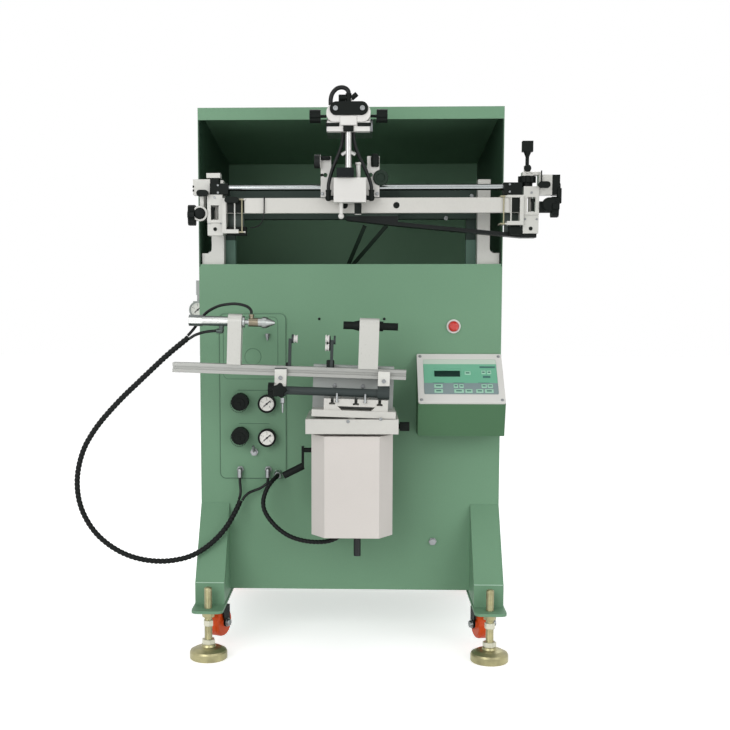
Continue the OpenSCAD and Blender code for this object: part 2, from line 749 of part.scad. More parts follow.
module clamp_frames() color(white) {
  translate([right_x, 0, 0]) clamp_frame(1);
  translate([left_x, 0, 0]) mirror([1, 0, 0]) clamp_frame(0);
  block(right_x + frame_w / 2, right_x + plate_u, plate_y0, plate_y1, plate_low, plate_high[1]);
  block(left_x - plate_u - 3, left_x - 10, plate_y0, plate_y1, frame_high - left_drop, plate_high[0]);
  block(left_x - 32, left_x - 24, plate_y0, plate_y1, frame_high - 41, frame_high - left_drop);
  block(cap_x - 11, cap_x + 11, frame_yc - 13, frame_yc + 13, frame_high + 22, frame_high + 30);
  block(left_x - 18, left_x + 11, frame_yc - 14, frame_yc + 14, clamp_top + 12, clamp_top + 22);
  for (s = [-1, 1]) block(cap_x - 6, cap_x + 6, frame_yc + s * 5.5 - 1.5, frame_yc + s * 5.5 + 1.5,
    frame_high + 30, lever_pivot + 6);
  y_cyl(pivot_r, frame_yc - 7, frame_yc + 7, cap_x, lever_pivot);
}

// Lobed hand wheel that turns about X, with its hub
wheel_r = 22;
hub_len = 26;
module hand_wheel(x, s, z) {
  x_cyl(12, min(x, x + s * hub_len), max(x, x + s * hub_len), frame_yc - 12, z);
  translate([x + s * hub_len, frame_yc - 12, z]) rotate([0, s * 90, 0]) linear_extrude(14) difference() {
    circle(wheel_r);
    for (k = [0:5]) rotate(k * 60) translate([26, 0]) circle(8);
  }
}
module oval_knob(x, z) {
  y = plate_y0;
  y_cyl(5, y - 12, y, x, z);
  translate([x, 0, z]) front_slab(y - 22, y - 12) rounded(24, 13, 6);
}
module clamp_knobs() color(black) {
  hand_wheel(right_x + frame_w / 2, 1, rod_z - 42);
  hand_wheel(left_x - frame_w / 2, -1, rod_z - 42 - left_drop);
  oval_knob(right_x + 24, rod_z + 2);
  oval_knob(left_x - 24, frame_high - left_drop + 2);
  translate([left_x + 37, 0, u_high[0] - 4]) front_slab(frame_y0 - 16, frame_y0 - 6) rounded(30, 12, 5.9);
}

slide_w = 108;
slide_t = 12;
slide_low = beam_low - 5.5;
module carriage_slide() color(slate) {
  x0 = car_x - slide_w / 2;
  x1 = car_x + slide_w / 2;
  gm = (guide_z0 + guide_z1) / 2;
  block(x0, x1, -beam_back, guide_y0 - seat, slide_low, slide_low + slide_t);
  block(x0, x1, 5, guide_y0 - seat, slide_low + slide_t, rod_z + 5);
  block(x0, x1, guide_y0 - seat, guide_y0 + groove_t - seat,
    gm - groove_h / 2 + seat, gm + groove_h / 2 - seat);
}

tray_t = 8;
tray_d = 40;
module tray_bar() color(black) {
  x0 = slide_w / 2;
  x1 = end_x - frame_w / 2;
  x2 = end_x + 14;
  z0 = slide_low;
  front_slab(-beam_back, -beam_back + tray_d) polygon([
    [car_x - x0, z0 - tray_t], [car_x - x0, z0], [car_x + x0, z0], [car_x + x0, z0 - 12],
    [car_x + x1, frame_low], [car_x + x2, frame_low], [car_x + x2, frame_low - tray_t],
    [car_x + x1, frame_low - tray_t], [car_x + x0, z0 - 12 - tray_t]]);
}

lever_pivot = frame_high + 38;
lever_eye = 5;
pivot_r = 2.5;
module clamp_lever() color(black) translate([cap_x, frame_yc, lever_pivot]) {
  difference() {
    union() {
      y_cyl(lever_eye, -3.7, 3.7, 0, 0);
      z_cyl(3, 0, 24, 0, 0);
    }
    y_cyl(pivot_r + run_fit, -5, 5, 0, 0);
  }
  translate([0, 0, 24]) cylinder(r1 = 4, r2 = 8, h = 10);
  block(-11, 11, -8, 8, 34, 56);
}

// Object table

module table_way() color(steel) {
  narrow = way_w / 2 - way_step;
  block(table_x - narrow, table_x + narrow, -way_t, 0, way_bottom, way_top);
  block(table_x - way_w / 2, table_x + way_w / 2, -2 * way_t, -way_t, way_bottom, way_top);
}

saddle_w = 150;
saddle_h = 154;
module table_saddle() color(slate) difference() {
  block(table_x - saddle_w / 2, table_x + saddle_w / 2, -cover_back, -6, base_z - saddle_h, base_z);
  wide = way_w / 2 + seat;
  narrow = wide - way_step;
  z0 = base_z - saddle_h - 1;
  block(table_x - wide, table_x + wide, -2 * way_t - seat, -way_t + seat, z0, base_z + 1);
  block(table_x - narrow, table_x + narrow, -way_t - 1, 0, z0, base_z + 1);
}

cover_chamfer = 28;
cover_gap = 6;
cover_wall = 3;
cover_hollow = 30;
crank_z = base_z - 46;
crank_y = -115;
crank_d = 10;
crank_seat = 14;
module cover_plan(inset) offset(delta = -inset) polygon([
  [-cover_w / 2, -cover_back], [-cover_w / 2, -cover_side],
  [cover_chamfer - cover_w / 2, -cover_front], [cover_w / 2 - cover_chamfer, -cover_front],
  [cover_w / 2, -cover_side], [cover_w / 2, -cover_back]]);
module motor_cover() color(white) {
  z1 = base_z - cover_gap;
  difference() {
    translate([table_x, 0, z1 - cover_h]) linear_extrude(cover_h) cover_plan(0);
    translate([table_x, 0, z1 - cover_h - 1]) linear_extrude(cover_hollow + 1) cover_plan(cover_wall);
    x_cyl(crank_d / 2 + run_fit, table_x - cover_w / 2 - 1, table_x - cover_w / 2 + crank_seat,
      crank_y, crank_z);
  }
  block(table_x - cover_w / 2 + 10, table_x + cover_w / 2 - 10, -cover_side, -cover_back, z1, base_z);
  z_cyl(7.5, z1 - cover_h - 55, z1 - cover_h + cover_hollow, table_x + 11, -120);
  z_cyl(8, z1 - cover_h + cover_hollow - 14, z1 - cover_h + cover_hollow, table_x - 13, -115, 6);
}

fulcrum_w = 14;
fulcrum_h = 3;
module table_base() color(cream) {
  block(table_x - base_w / 2, table_x + base_w / 2, -base_front, -34, base_z, base_top);
  block(table_x - fulcrum_w / 2, table_x + fulcrum_w / 2, -base_front + 15, -100,
    base_top, base_top + fulcrum_h);
}

// Everything on the tilting plate is drawn level and then turned about the fulcrum
module tilted() translate([table_x, 0, base_top + fulcrum_h]) rotate([0, table_tilt, 0])
  translate([-table_x, 0, -base_top - fulcrum_h]) children();

plate_z = base_top + fulcrum_h + seat;
plate_t = 14;
tblock_z = plate_z + plate_t;
tblock_h = 23;
module t_slot_block() color(cream) tilted() {
  block(table_x - 82, table_x + 88, -base_front + 4, -100, plate_z, tblock_z);
  difference() {
    block(table_x - 58, table_x + 72, -base_front + 7, -160, tblock_z, tblock_z + tblock_h);
    for (x = [-41, 7, 55]) translate([table_x + x, 0, 0])
      front_slab(-base_front, -159) translate([0, tblock_z + tblock_h + 4]) polygon([
        [-3, 1], [3, 1], [3, -12], [6, -12], [6, -16], [-6, -16], [-6, -12], [-3, -12]]);
    front_slab(-base_front, -159) polygon([
      [table_x - 30, tblock_z + 8], [table_x + 46, tblock_z + 8], [table_x + 38, tblock_z],
      [table_x - 22, tblock_z]]);
  }
  for (x = [-23, 34]) z_cyl(2.5, tblock_z + tblock_h, tblock_z + tblock_h + 15, table_x + x, -185);
}

column_t = 25;
module rail_column() color(grey) tilted()
  block(table_x - 83, table_x + 83, -rail_back, -rail_back + column_t, tblock_z, rail_z + 14);

groove = 6;
module rail_profile() difference() {
  translate([rail_y, rail_z]) square([rail_t, rail_h], center = true);
  translate([rail_y - rail_t / 2, rail_z]) square([10, groove], center = true);
  translate([rail_y, rail_z + rail_h / 2]) square([groove, 8], center = true);
  translate([rail_y, rail_z - rail_h / 2]) square([groove, 8], center = true);
}
module object_rail() color(grey) tilted() side_slab(rail_left, rail_right) rail_profile();

spindle_z = rail_z + spindle_rise;
arm_r = 16;
module arm_outline() {
  z0 = rail_z + rail_h / 2;
  translate([spindle_y - arm_r, z0]) square([2 * arm_r, spindle_z - z0]);
  translate([spindle_y, spindle_z]) circle(arm_r);
}
module spindle_arms() color(white) tilted() {
  difference() {
    side_slab(arm_left, arm_left + arm_left_w) arm_outline();
    x_cyl(cylinder_d / 2 + run_fit, arm_left - 1, arm_left + arm_left_w - 8, spindle_y, spindle_z);
    x_cyl(4 + run_fit, arm_left, arm_left + arm_left_w + 1, spindle_y, spindle_z);
  }
  difference() {
    side_slab(arm_right, arm_right + arm_right_w) arm_outline();
    x_cyl(tail_d / 2 + run_fit, arm_right - 1, arm_right + arm_right_w + 1, spindle_y, spindle_z);
  }
}

cyl_len = 81;
module clamp_cylinder() color(steel) tilted() difference() {
  union() {
    x_cyl(cylinder_d / 2, arm_left - cyl_len + 20, arm_left + arm_left_w - 8, spindle_y, spindle_z);
    x_cyl(cylinder_d / 2 + 1.5, arm_left - cyl_len, arm_left - cyl_len + 28, spindle_y, spindle_z, 6);
    z_cyl(5, spindle_z - 20, spindle_z, arm_left - 14, spindle_y);
    translate([arm_left - 14, spindle_y, spindle_z - 20]) sphere(r = 5);
    x_cyl(5, arm_left - 24, arm_left - 14, spindle_y, spindle_z - 20);
  }
  x_cyl(4 + run_fit, arm_left - 45, arm_left + arm_left_w, spindle_y, spindle_z);
}

nozzle_x = arm_left + arm_left_w + 1;
module air_nozzle() color(brass) tilted() {
  x_cyl(4, arm_left - 30, nozzle_x, spindle_y, spindle_z);
  x_cyl(11.5, nozzle_x, nozzle_x + 4.5, spindle_y, spindle_z);
  x_cyl(5, nozzle_x + 4.5, nozzle_x + 12, spindle_y, spindle_z);
  x_cyl(9, nozzle_x + 12, nozzle_x + 40, spindle_y, spindle_z);
  translate([nozzle_x + 40, spindle_y, spindle_z]) rotate([0, 90, 0]) cylinder(r = 11.5, h = 8);
  translate([nozzle_x + 48, spindle_y, spindle_z]) rotate([0, 90, 0]) cylinder(r1 = 11.5, r2 = 3, h = 18);
  z_cyl(4.5, spindle_z, spindle_z + 12, nozzle_x + 18, spindle_y);
  z_cyl(5.5, spindle_z + 12, spindle_z + 16, nozzle_x + 18, spindle_y, 6);
}

tail_tip = table_x - 24;
module tail_spindle() color(black) tilted() {
  x_cyl(tail_d / 2, tail_tip + 18, arm_right + arm_right_w + 38, spindle_y, spindle_z);
  x_cyl(8, tail_tip, tail_tip + 20, spindle_y, spindle_z);
  translate([tail_tip + 20, spindle_y, spindle_z]) rotate([0, 90, 0])
    cylinder(r1 = 8, r2 = 11, h = arm_right - tail_tip - 20 - seat);
  x_cyl(10, arm_right + arm_right_w + seat, arm_right + arm_right_w + 8, spindle_y, spindle_z);
}

bar_z = rail_z - 38;
bar_y = rail_y - 29;
hanger_x = [table_x - 160, table_x + 50];
clasp_w = 24;
module support_bar() color(slate) tilted() {
  x_cyl(8.5, hanger_x[0] + clasp_w, hanger_x[1] + clasp_w, bar_y, bar_z);
  for (x = hanger_x) {
    block(x, x + clasp_w, rail_y - rail_t / 2 - 12, rail_y - rail_t / 2, bar_z, rail_z + 6);
    x_cyl(12, x, x + clasp_w, bar_y, bar_z);
  }
  for (x = [table_x - 135, table_x - 49]) {
    block(x, x + 6, rail_y - 7, rail_y + 7, rail_z + rail_h / 2, rail_z + 66);
    x_cyl(9, x + 6, x + 10, rail_y, rail_z + 66);
  }
}

module table_knobs() color(black) {
  tilted() {
    translate([hanger_x[0] - 12, bar_y, bar_z]) rotate([0, 90, 0]) linear_extrude(12) difference() {
      circle(15);
      for (k = [0:4]) rotate(k * 72) translate([18, 0]) circle(5);
    }
  }
  x_cyl(5, table_x + base_w / 2, table_x + base_w / 2 + 4, -160, base_z + 10);
  x_cyl(9.5, table_x + base_w / 2 + 4, table_x + base_w / 2 + 24, -160, base_z + 10);
}

crank_arm = 34;
module hand_crank() color(black) translate([table_x - cover_w / 2, crank_y, crank_z]) {
  x_cyl(crank_d / 2, -18, crank_seat - 1, 0, 0);
  block(-23, -18, -6, 6, -crank_arm - 6, 8);
  translate([-20, 0, -crank_arm]) rotate([0, -117, 0]) cylinder(r = 7.5, h = 46);
}

// Cords, whose points are chosen by hand in the machine's own frame

main_d = 12;
main_route = [
  [-330, -165, 697], [-345, -164, 685], [-365, -162, 669], [-387, -160, 650], [-412, -157, 627],
  [-440, -155, 601], [-470, -152, 573], [-497, -150, 545], [-520, -148, 519], [-540, -145, 492],
  [-556, -143, 464], [-567, -141, 433], [-573, -140, 400], [-573, -138, 366], [-567, -135, 334],
  [-555, -132, 305], [-538, -129, 279], [-516, -126, 257], [-489, -122, 238], [-460, -118, 225],
  [-430, -112, 217], [-400, -106, 214], [-370, -99, 216], [-343, -91, 222], [-319, -81, 233],
  [-298, -72, 248], [-280, -62, 265], [-265, -51, 284], [-254, -41, 303], [-246, -33, 319],
  [-240, -28, 333]];
tube_d = 6;
port_route_a = [
  [-243.2, -27, 335.4], [-241, -23, 343], [-240, -20, 352], [-241, -17, 363], [-242, -16, 374],
  [-242, -16, 383]];
port_route_b = [
  [-236, -27, 333.4], [-231, -24, 341], [-222, -21, 349], [-210, -18, 354], [-197, -17, 359],
  [-188, -16, 365], [-182, -16, 370], [-180, -16, 377], [-180, -16, 383]];
nozzle_route = [
  [-331.2, -165, 701], [-325, -162, 708], [-318, -158, 717], [-311, -156, 727], [-303, -156, 738],
  [-293, -158, 748], [-280, -162, 756], [-265, -167, 762], [-249, -171, 765], [-233, -173, 766],
  [-218, -174, 764], [-207, -174, 760], [-200, -174, 753], [-198.8, -174, 745.8]];
cylinder_route = [
  [-326.8, -165, 695.4], [-318, -166, 701], [-308, -167, 705], [-297, -170, 708], [-284, -173, 710],
  [-271.2, -174, 711]];
cable_d = 10;
motor_route = [
  [-158, -22, 389], [-158, -32, 389], [-162, -43, 386], [-169, -51, 379], [-177, -57, 368],
  [-183, -63, 354], [-186, -68, 339], [-184, -74, 324], [-176, -80, 309], [-164, -86, 295],
  [-149, -92, 282], [-131, -97, 271], [-111, -102, 264], [-90, -105, 260], [-69, -108, 259],
  [-48, -111, 261], [-28, -113, 268], [-13, -115, 281], [-6, -115, 293], [-6, -115, 304]];
head_hose_d = 9;
head_route = [
  [-38, -154, 1168], [-38, -154, 1176], [-36, -154, 1185], [-32, -154, 1192], [-25, -154, 1198],
  [-17, -154, 1200], [-10, -154, 1199], [-5, -154, 1196], [-2.4, -154, 1192], [-2, -154, 1188.8]];

// The routes were measured with the deck at this height and follow it
route_deck_z = 851;
function lifted(route) = [for (q = route) q + [0, 0, deck_z - route_deck_z]];
module main_hose() color(black) cord(lifted(main_route), main_d);
module port_tubes() color(black) {
  cord(lifted(port_route_a), tube_d);
  cord(lifted(port_route_b), tube_d);
}
module nozzle_tube() color(black) cord(lifted(nozzle_route), tube_d);
module cylinder_tube() color(black) cord(lifted(cylinder_route), tube_d);
module motor_cable() color(black) cord(lifted(motor_route), cable_d, [-1, -1, 1]);
module head_hose() color(black) cord(lifted(head_route), head_hose_d);

place() side_panels();
place() front_panel();
place() rear_panel();
place() cabinet_floor();
place() deck_plate();
place() hood_roof();
place() leg_housings();
place() levelling_feet();
place() caster_fork(0);  // caster_fork_fl
place() caster_fork(1);  // caster_fork_fr
place() caster_fork(2);  // caster_fork_rl
place() caster_fork(3);  // caster_fork_rr
place() caster_wheel(0);  // caster_wheel_fl
place() caster_wheel(1);  // caster_wheel_fr
place() caster_wheel(2);  // caster_wheel_rl
place() caster_wheel(3);  // caster_wheel_rr
place() control_box();
place() control_bezel();
place() control_overlay();
place() power_lamp();
place() pneumatic_panel();
place() regulator_knobs();
place() pressure_gauges();
place() panel_fittings();
place() air_filter_regulator();
place() uprights();
place() guide_beam();
place() head_bracket();
place() head_blocks();
place() head_knobs();
place() table_way();
place() screen_beam();
place() chrome_rod();
place() clamp_frames();
place() clamp_blocks();
place() clamp_knobs();
place() carriage_slide();
place() tray_bar();
place() clamp_lever();
place() squeegee_rod();
place() squeegee_block();
place() table_saddle();
place() motor_cover();
place() table_base();
place() t_slot_block();
place() rail_column();
place() object_rail();
place() spindle_arms();
place() clamp_cylinder();
place() support_bar();
place() table_knobs();
place() air_nozzle();
place() tail_spindle();
place() hand_crank();
place() main_hose();
place() port_tubes();
place() nozzle_tube();
place() cylinder_tube();
place() motor_cable();
place() head_hose();
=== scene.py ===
import math
import bpy
import bmesh
from mathutils import Matrix, Vector


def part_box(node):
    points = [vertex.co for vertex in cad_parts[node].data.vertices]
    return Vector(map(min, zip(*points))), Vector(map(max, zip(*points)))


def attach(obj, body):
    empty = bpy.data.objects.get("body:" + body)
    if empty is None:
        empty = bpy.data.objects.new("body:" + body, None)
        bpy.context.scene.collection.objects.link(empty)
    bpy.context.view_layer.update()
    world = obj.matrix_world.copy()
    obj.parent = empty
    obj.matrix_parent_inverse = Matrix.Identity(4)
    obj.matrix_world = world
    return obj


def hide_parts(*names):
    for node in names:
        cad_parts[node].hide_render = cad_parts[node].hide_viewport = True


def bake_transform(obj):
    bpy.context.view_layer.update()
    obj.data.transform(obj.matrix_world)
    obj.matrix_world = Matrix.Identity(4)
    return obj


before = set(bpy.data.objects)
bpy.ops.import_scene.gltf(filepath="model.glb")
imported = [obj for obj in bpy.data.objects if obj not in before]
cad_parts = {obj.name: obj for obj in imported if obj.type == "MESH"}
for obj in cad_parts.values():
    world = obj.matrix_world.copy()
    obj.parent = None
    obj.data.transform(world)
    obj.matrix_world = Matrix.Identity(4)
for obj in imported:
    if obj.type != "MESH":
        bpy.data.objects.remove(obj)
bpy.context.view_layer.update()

# Places are written in millimetres from the middle of the cabinet's front panel. Heights are
# written for a deck at 851 mm and follow the real deck, apart from those of the feet.
DECK = 0.851
side_low, side_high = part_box("side_panels")
MIDDLE_X = (side_low[0] + side_high[0]) / 2
FRONT_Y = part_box("front_panel")[0][1]
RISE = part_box("deck_plate")[1][2] - DECK
X, Y, Z = Vector((1, 0, 0)), Vector((0, 1, 0)), Vector((0, 0, 1))


def front_of(node):
    """How far behind the front panel's face a CAD node starts, in mm."""
    return (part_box(node)[0][1] - FRONT_Y) * 1000


GUIDE_FRONT = front_of("guide_beam")
BAR_FRONT = front_of("support_bar")


def ground(x, y, z):
    """A place in metres from one in mm, its height taken from the floor."""
    return Vector((MIDDLE_X + x / 1000, FRONT_Y + y / 1000, z / 1000))


def at(x, y, z):
    """A place in metres from one in mm, its height following the deck."""
    return ground(x, y, z) + Vector((0, 0, RISE))


# The tilting plate, the rail and the spindles lean by this much about the table's fulcrum
TILT = math.radians(1.8)
FULCRUM = (7, 537)


def tilted(x, y, z):
    """The same on the tilting plate, given as if the plate lay level."""
    dx, dz = x - FULCRUM[0], z - FULCRUM[1]
    return at(FULCRUM[0] + dx * math.cos(TILT) + dz * math.sin(TILT), y,
              FULCRUM[1] - dx * math.sin(TILT) + dz * math.cos(TILT))


def make_camera():
    data = bpy.data.cameras.new("camera")
    data.sensor_width = 36
    data.lens = 56.63
    data.shift_x = 0.06
    data.shift_y = 0.06
    camera = bpy.data.objects.new("camera", data)
    camera.location = at(27.9, -2519, 781.9)
    camera.rotation_euler = (math.radians(90 - 5.611), 0, math.radians(2.061))
    bpy.context.scene.collection.objects.link(camera)
    bpy.context.scene.camera = camera


make_camera()


# Materials

def linear(code):
    """The linear colour of a hex code, with alpha."""
    channels = [int(code[i:i + 2], 16) / 255 for i in (1, 3, 5)]
    return [c / 12.92 if c <= 0.04045 else ((c + 0.055) / 1.055) ** 2.4 for c in channels] + [1]


EDGE_RADIUS = 0.0008
BUMP_DEPTH = 0.0004
COAT_ROUGHNESS = 0.15


def material(name, colour, rough=0.45, metal=0.0, coat=0.0, grain=900.0, bump=0.03, spread=0.08,
             blotch=6.0, wear=0.0, worn="#c9c9c4", stretch=(1, 1, 1), speckle=0.04,
             bands=(), specular=0.5):
    """A surface with slow colour drift, fine grain in colour, roughness and bump, and rubbed edges.

    Each band is (colour, axis, low, high, metal): another colour where the axis is between the two, in
    metres. Of the bands with another metal than the rest, the last one's metal is used.
    """
    mat = bpy.data.materials.new(name)
    mat.use_nodes = True
    nodes, links = mat.node_tree.nodes, mat.node_tree.links
    shader = nodes["Principled BSDF"]
    place = nodes.new("ShaderNodeTexCoord")
    scale = nodes.new("ShaderNodeMapping")
    scale.inputs["Scale"].default_value = stretch
    links.new(place.outputs["Object"], scale.inputs["Vector"])

    def noise(size, detail):
        node = nodes.new("ShaderNodeTexNoise")
        node.inputs["Scale"].default_value = size
        node.inputs["Detail"].default_value = detail
        links.new(scale.outputs["Vector"], node.inputs["Vector"])
        return node.outputs["Fac"]

    def ranged(value, low, high, start=0.3, end=0.7):
        node = nodes.new("ShaderNodeMapRange")
        node.inputs["From Min"].default_value = start
        node.inputs["From Max"].default_value = end
        node.inputs["To Min"].default_value = low
        node.inputs["To Max"].default_value = high
        links.new(value, node.inputs["Value"])
        return node.outputs["Result"]

    def mix(kind, factor, a, b):
        node = nodes.new("ShaderNodeMix")
        node.data_type = "RGBA"
        node.blend_type = kind
        for socket, value in (("Factor", factor), ("A", a), ("B", b)):
            socket = node.inputs[socket]
            if isinstance(value, bpy.types.NodeSocket):
                links.new(value, socket)
            else:
                socket.default_value = value
        return node.outputs["Result"]

    base = linear(colour)
    dark = [c * (1 - 2 * spread) for c in base[:3]] + [1]
    light = [min(1, c * (1 + spread)) for c in base[:3]] + [1]
    drift = noise(blotch, 2.0)
    fine = noise(grain, 4.0)
    tone = mix("MIX", ranged(drift, 0, 1), dark, light)
    spot = nodes.new("ShaderNodeSeparateXYZ")
    links.new(place.outputs["Object"], spot.inputs["Vector"])
    shine = metal
    for tint, axis, low, high, shiny in bands:
        inside = nodes.new("ShaderNodeMath")
        inside.operation = "COMPARE"
        inside.inputs[1].default_value = (low + high) / 2
        inside.inputs[2].default_value = (high - low) / 2
        links.new(spot.outputs[axis], inside.inputs[0])
        tone = mix("MIX", inside.outputs["Value"], tone, linear(tint))
        if shiny != metal:
            shine = ranged(inside.outputs["Value"], metal, shiny, 0, 1)
    specks = mix("MIX", ranged(fine, 0, 1), [1 - speckle] * 3 + [1], [1, 1, 1, 1])
    grainy = mix("MULTIPLY", 1.0, tone, specks)
    rounded = nodes.new("ShaderNodeBevel")
    rounded.samples = 4
    rounded.inputs["Radius"].default_value = EDGE_RADIUS
    if wear:
        flat = nodes.new("ShaderNodeNewGeometry")
        dot = nodes.new("ShaderNodeVectorMath")
        dot.operation = "DOT_PRODUCT"
        links.new(rounded.outputs["Normal"], dot.inputs[0])
        links.new(flat.outputs["Normal"], dot.inputs[1])
        edges = ranged(dot.outputs["Value"], 1, 0, 0.86, 0.985)
        patchy = ranged(noise(70, 3.0), 0, wear, 0.45, 0.62)
        both = nodes.new("ShaderNodeMath")
        both.operation = "MULTIPLY"
        links.new(edges, both.inputs[0])
        links.new(patchy, both.inputs[1])
        grainy = mix("MIX", both.outputs["Value"], grainy, linear(worn))
    links.new(grainy, shader.inputs["Base Color"])
    links.new(ranged(fine, max(0.04, rough - 0.06), min(1, rough + 0.08)), shader.inputs["Roughness"])
    raised = nodes.new("ShaderNodeBump")
    raised.inputs["Strength"].default_value = bump
    raised.inputs["Distance"].default_value = BUMP_DEPTH
    links.new(fine, raised.inputs["Height"])
    links.new(rounded.outputs["Normal"], raised.inputs["Normal"])
    links.new(raised.outputs["Normal"], shader.inputs["Normal"])
    if shine is metal:
        shader.inputs["Metallic"].default_value = metal
    else:
        links.new(shine, shader.inputs["Metallic"])
    shader.inputs["Specular IOR Level"].default_value = specular
    shader.inputs["Coat Weight"].default_value = coat
    shader.inputs["Coat Roughness"].default_value = COAT_ROUGHNESS
    return mat


# In metres, past every part
FAR = 2
PAINT = dict(rough=0.5, specular=0.3, grain=700, bump=0.10, spread=0.03, blotch=3, wear=0.25, speckle=0.08)
ENAMEL = dict(grain=260, bump=0.05, spread=0.02, speckle=0.02)
MOULDED = dict(rough=0.4, grain=900, bump=0.05, spread=0.02, speckle=0.03, wear=0.15, worn="#b5b4ac")
DARK_PAINT = dict(rough=0.42, specular=0.3, grain=500, bump=0.08, spread=0.06, wear=0.35, worn="#7c8688")
PRINT = dict(grain=700, bump=0.02, spread=0.03)


def band_x(colour, low, high, metal=0):
    """A band for material() between two places across the cabinet, in mm."""
    return colour, "X", at(low, 0, 0).x, at(high, 0, 0).x, metal


def below(colour, z, metal=0):
    """A band for material() under a height in mm."""
    return colour, "Z", -FAR, at(0, 0, z).z, metal


def above(colour, z, metal=0):
    """A band for material() over a height in mm."""
    return colour, "Z", at(0, 0, z).z, FAR, metal


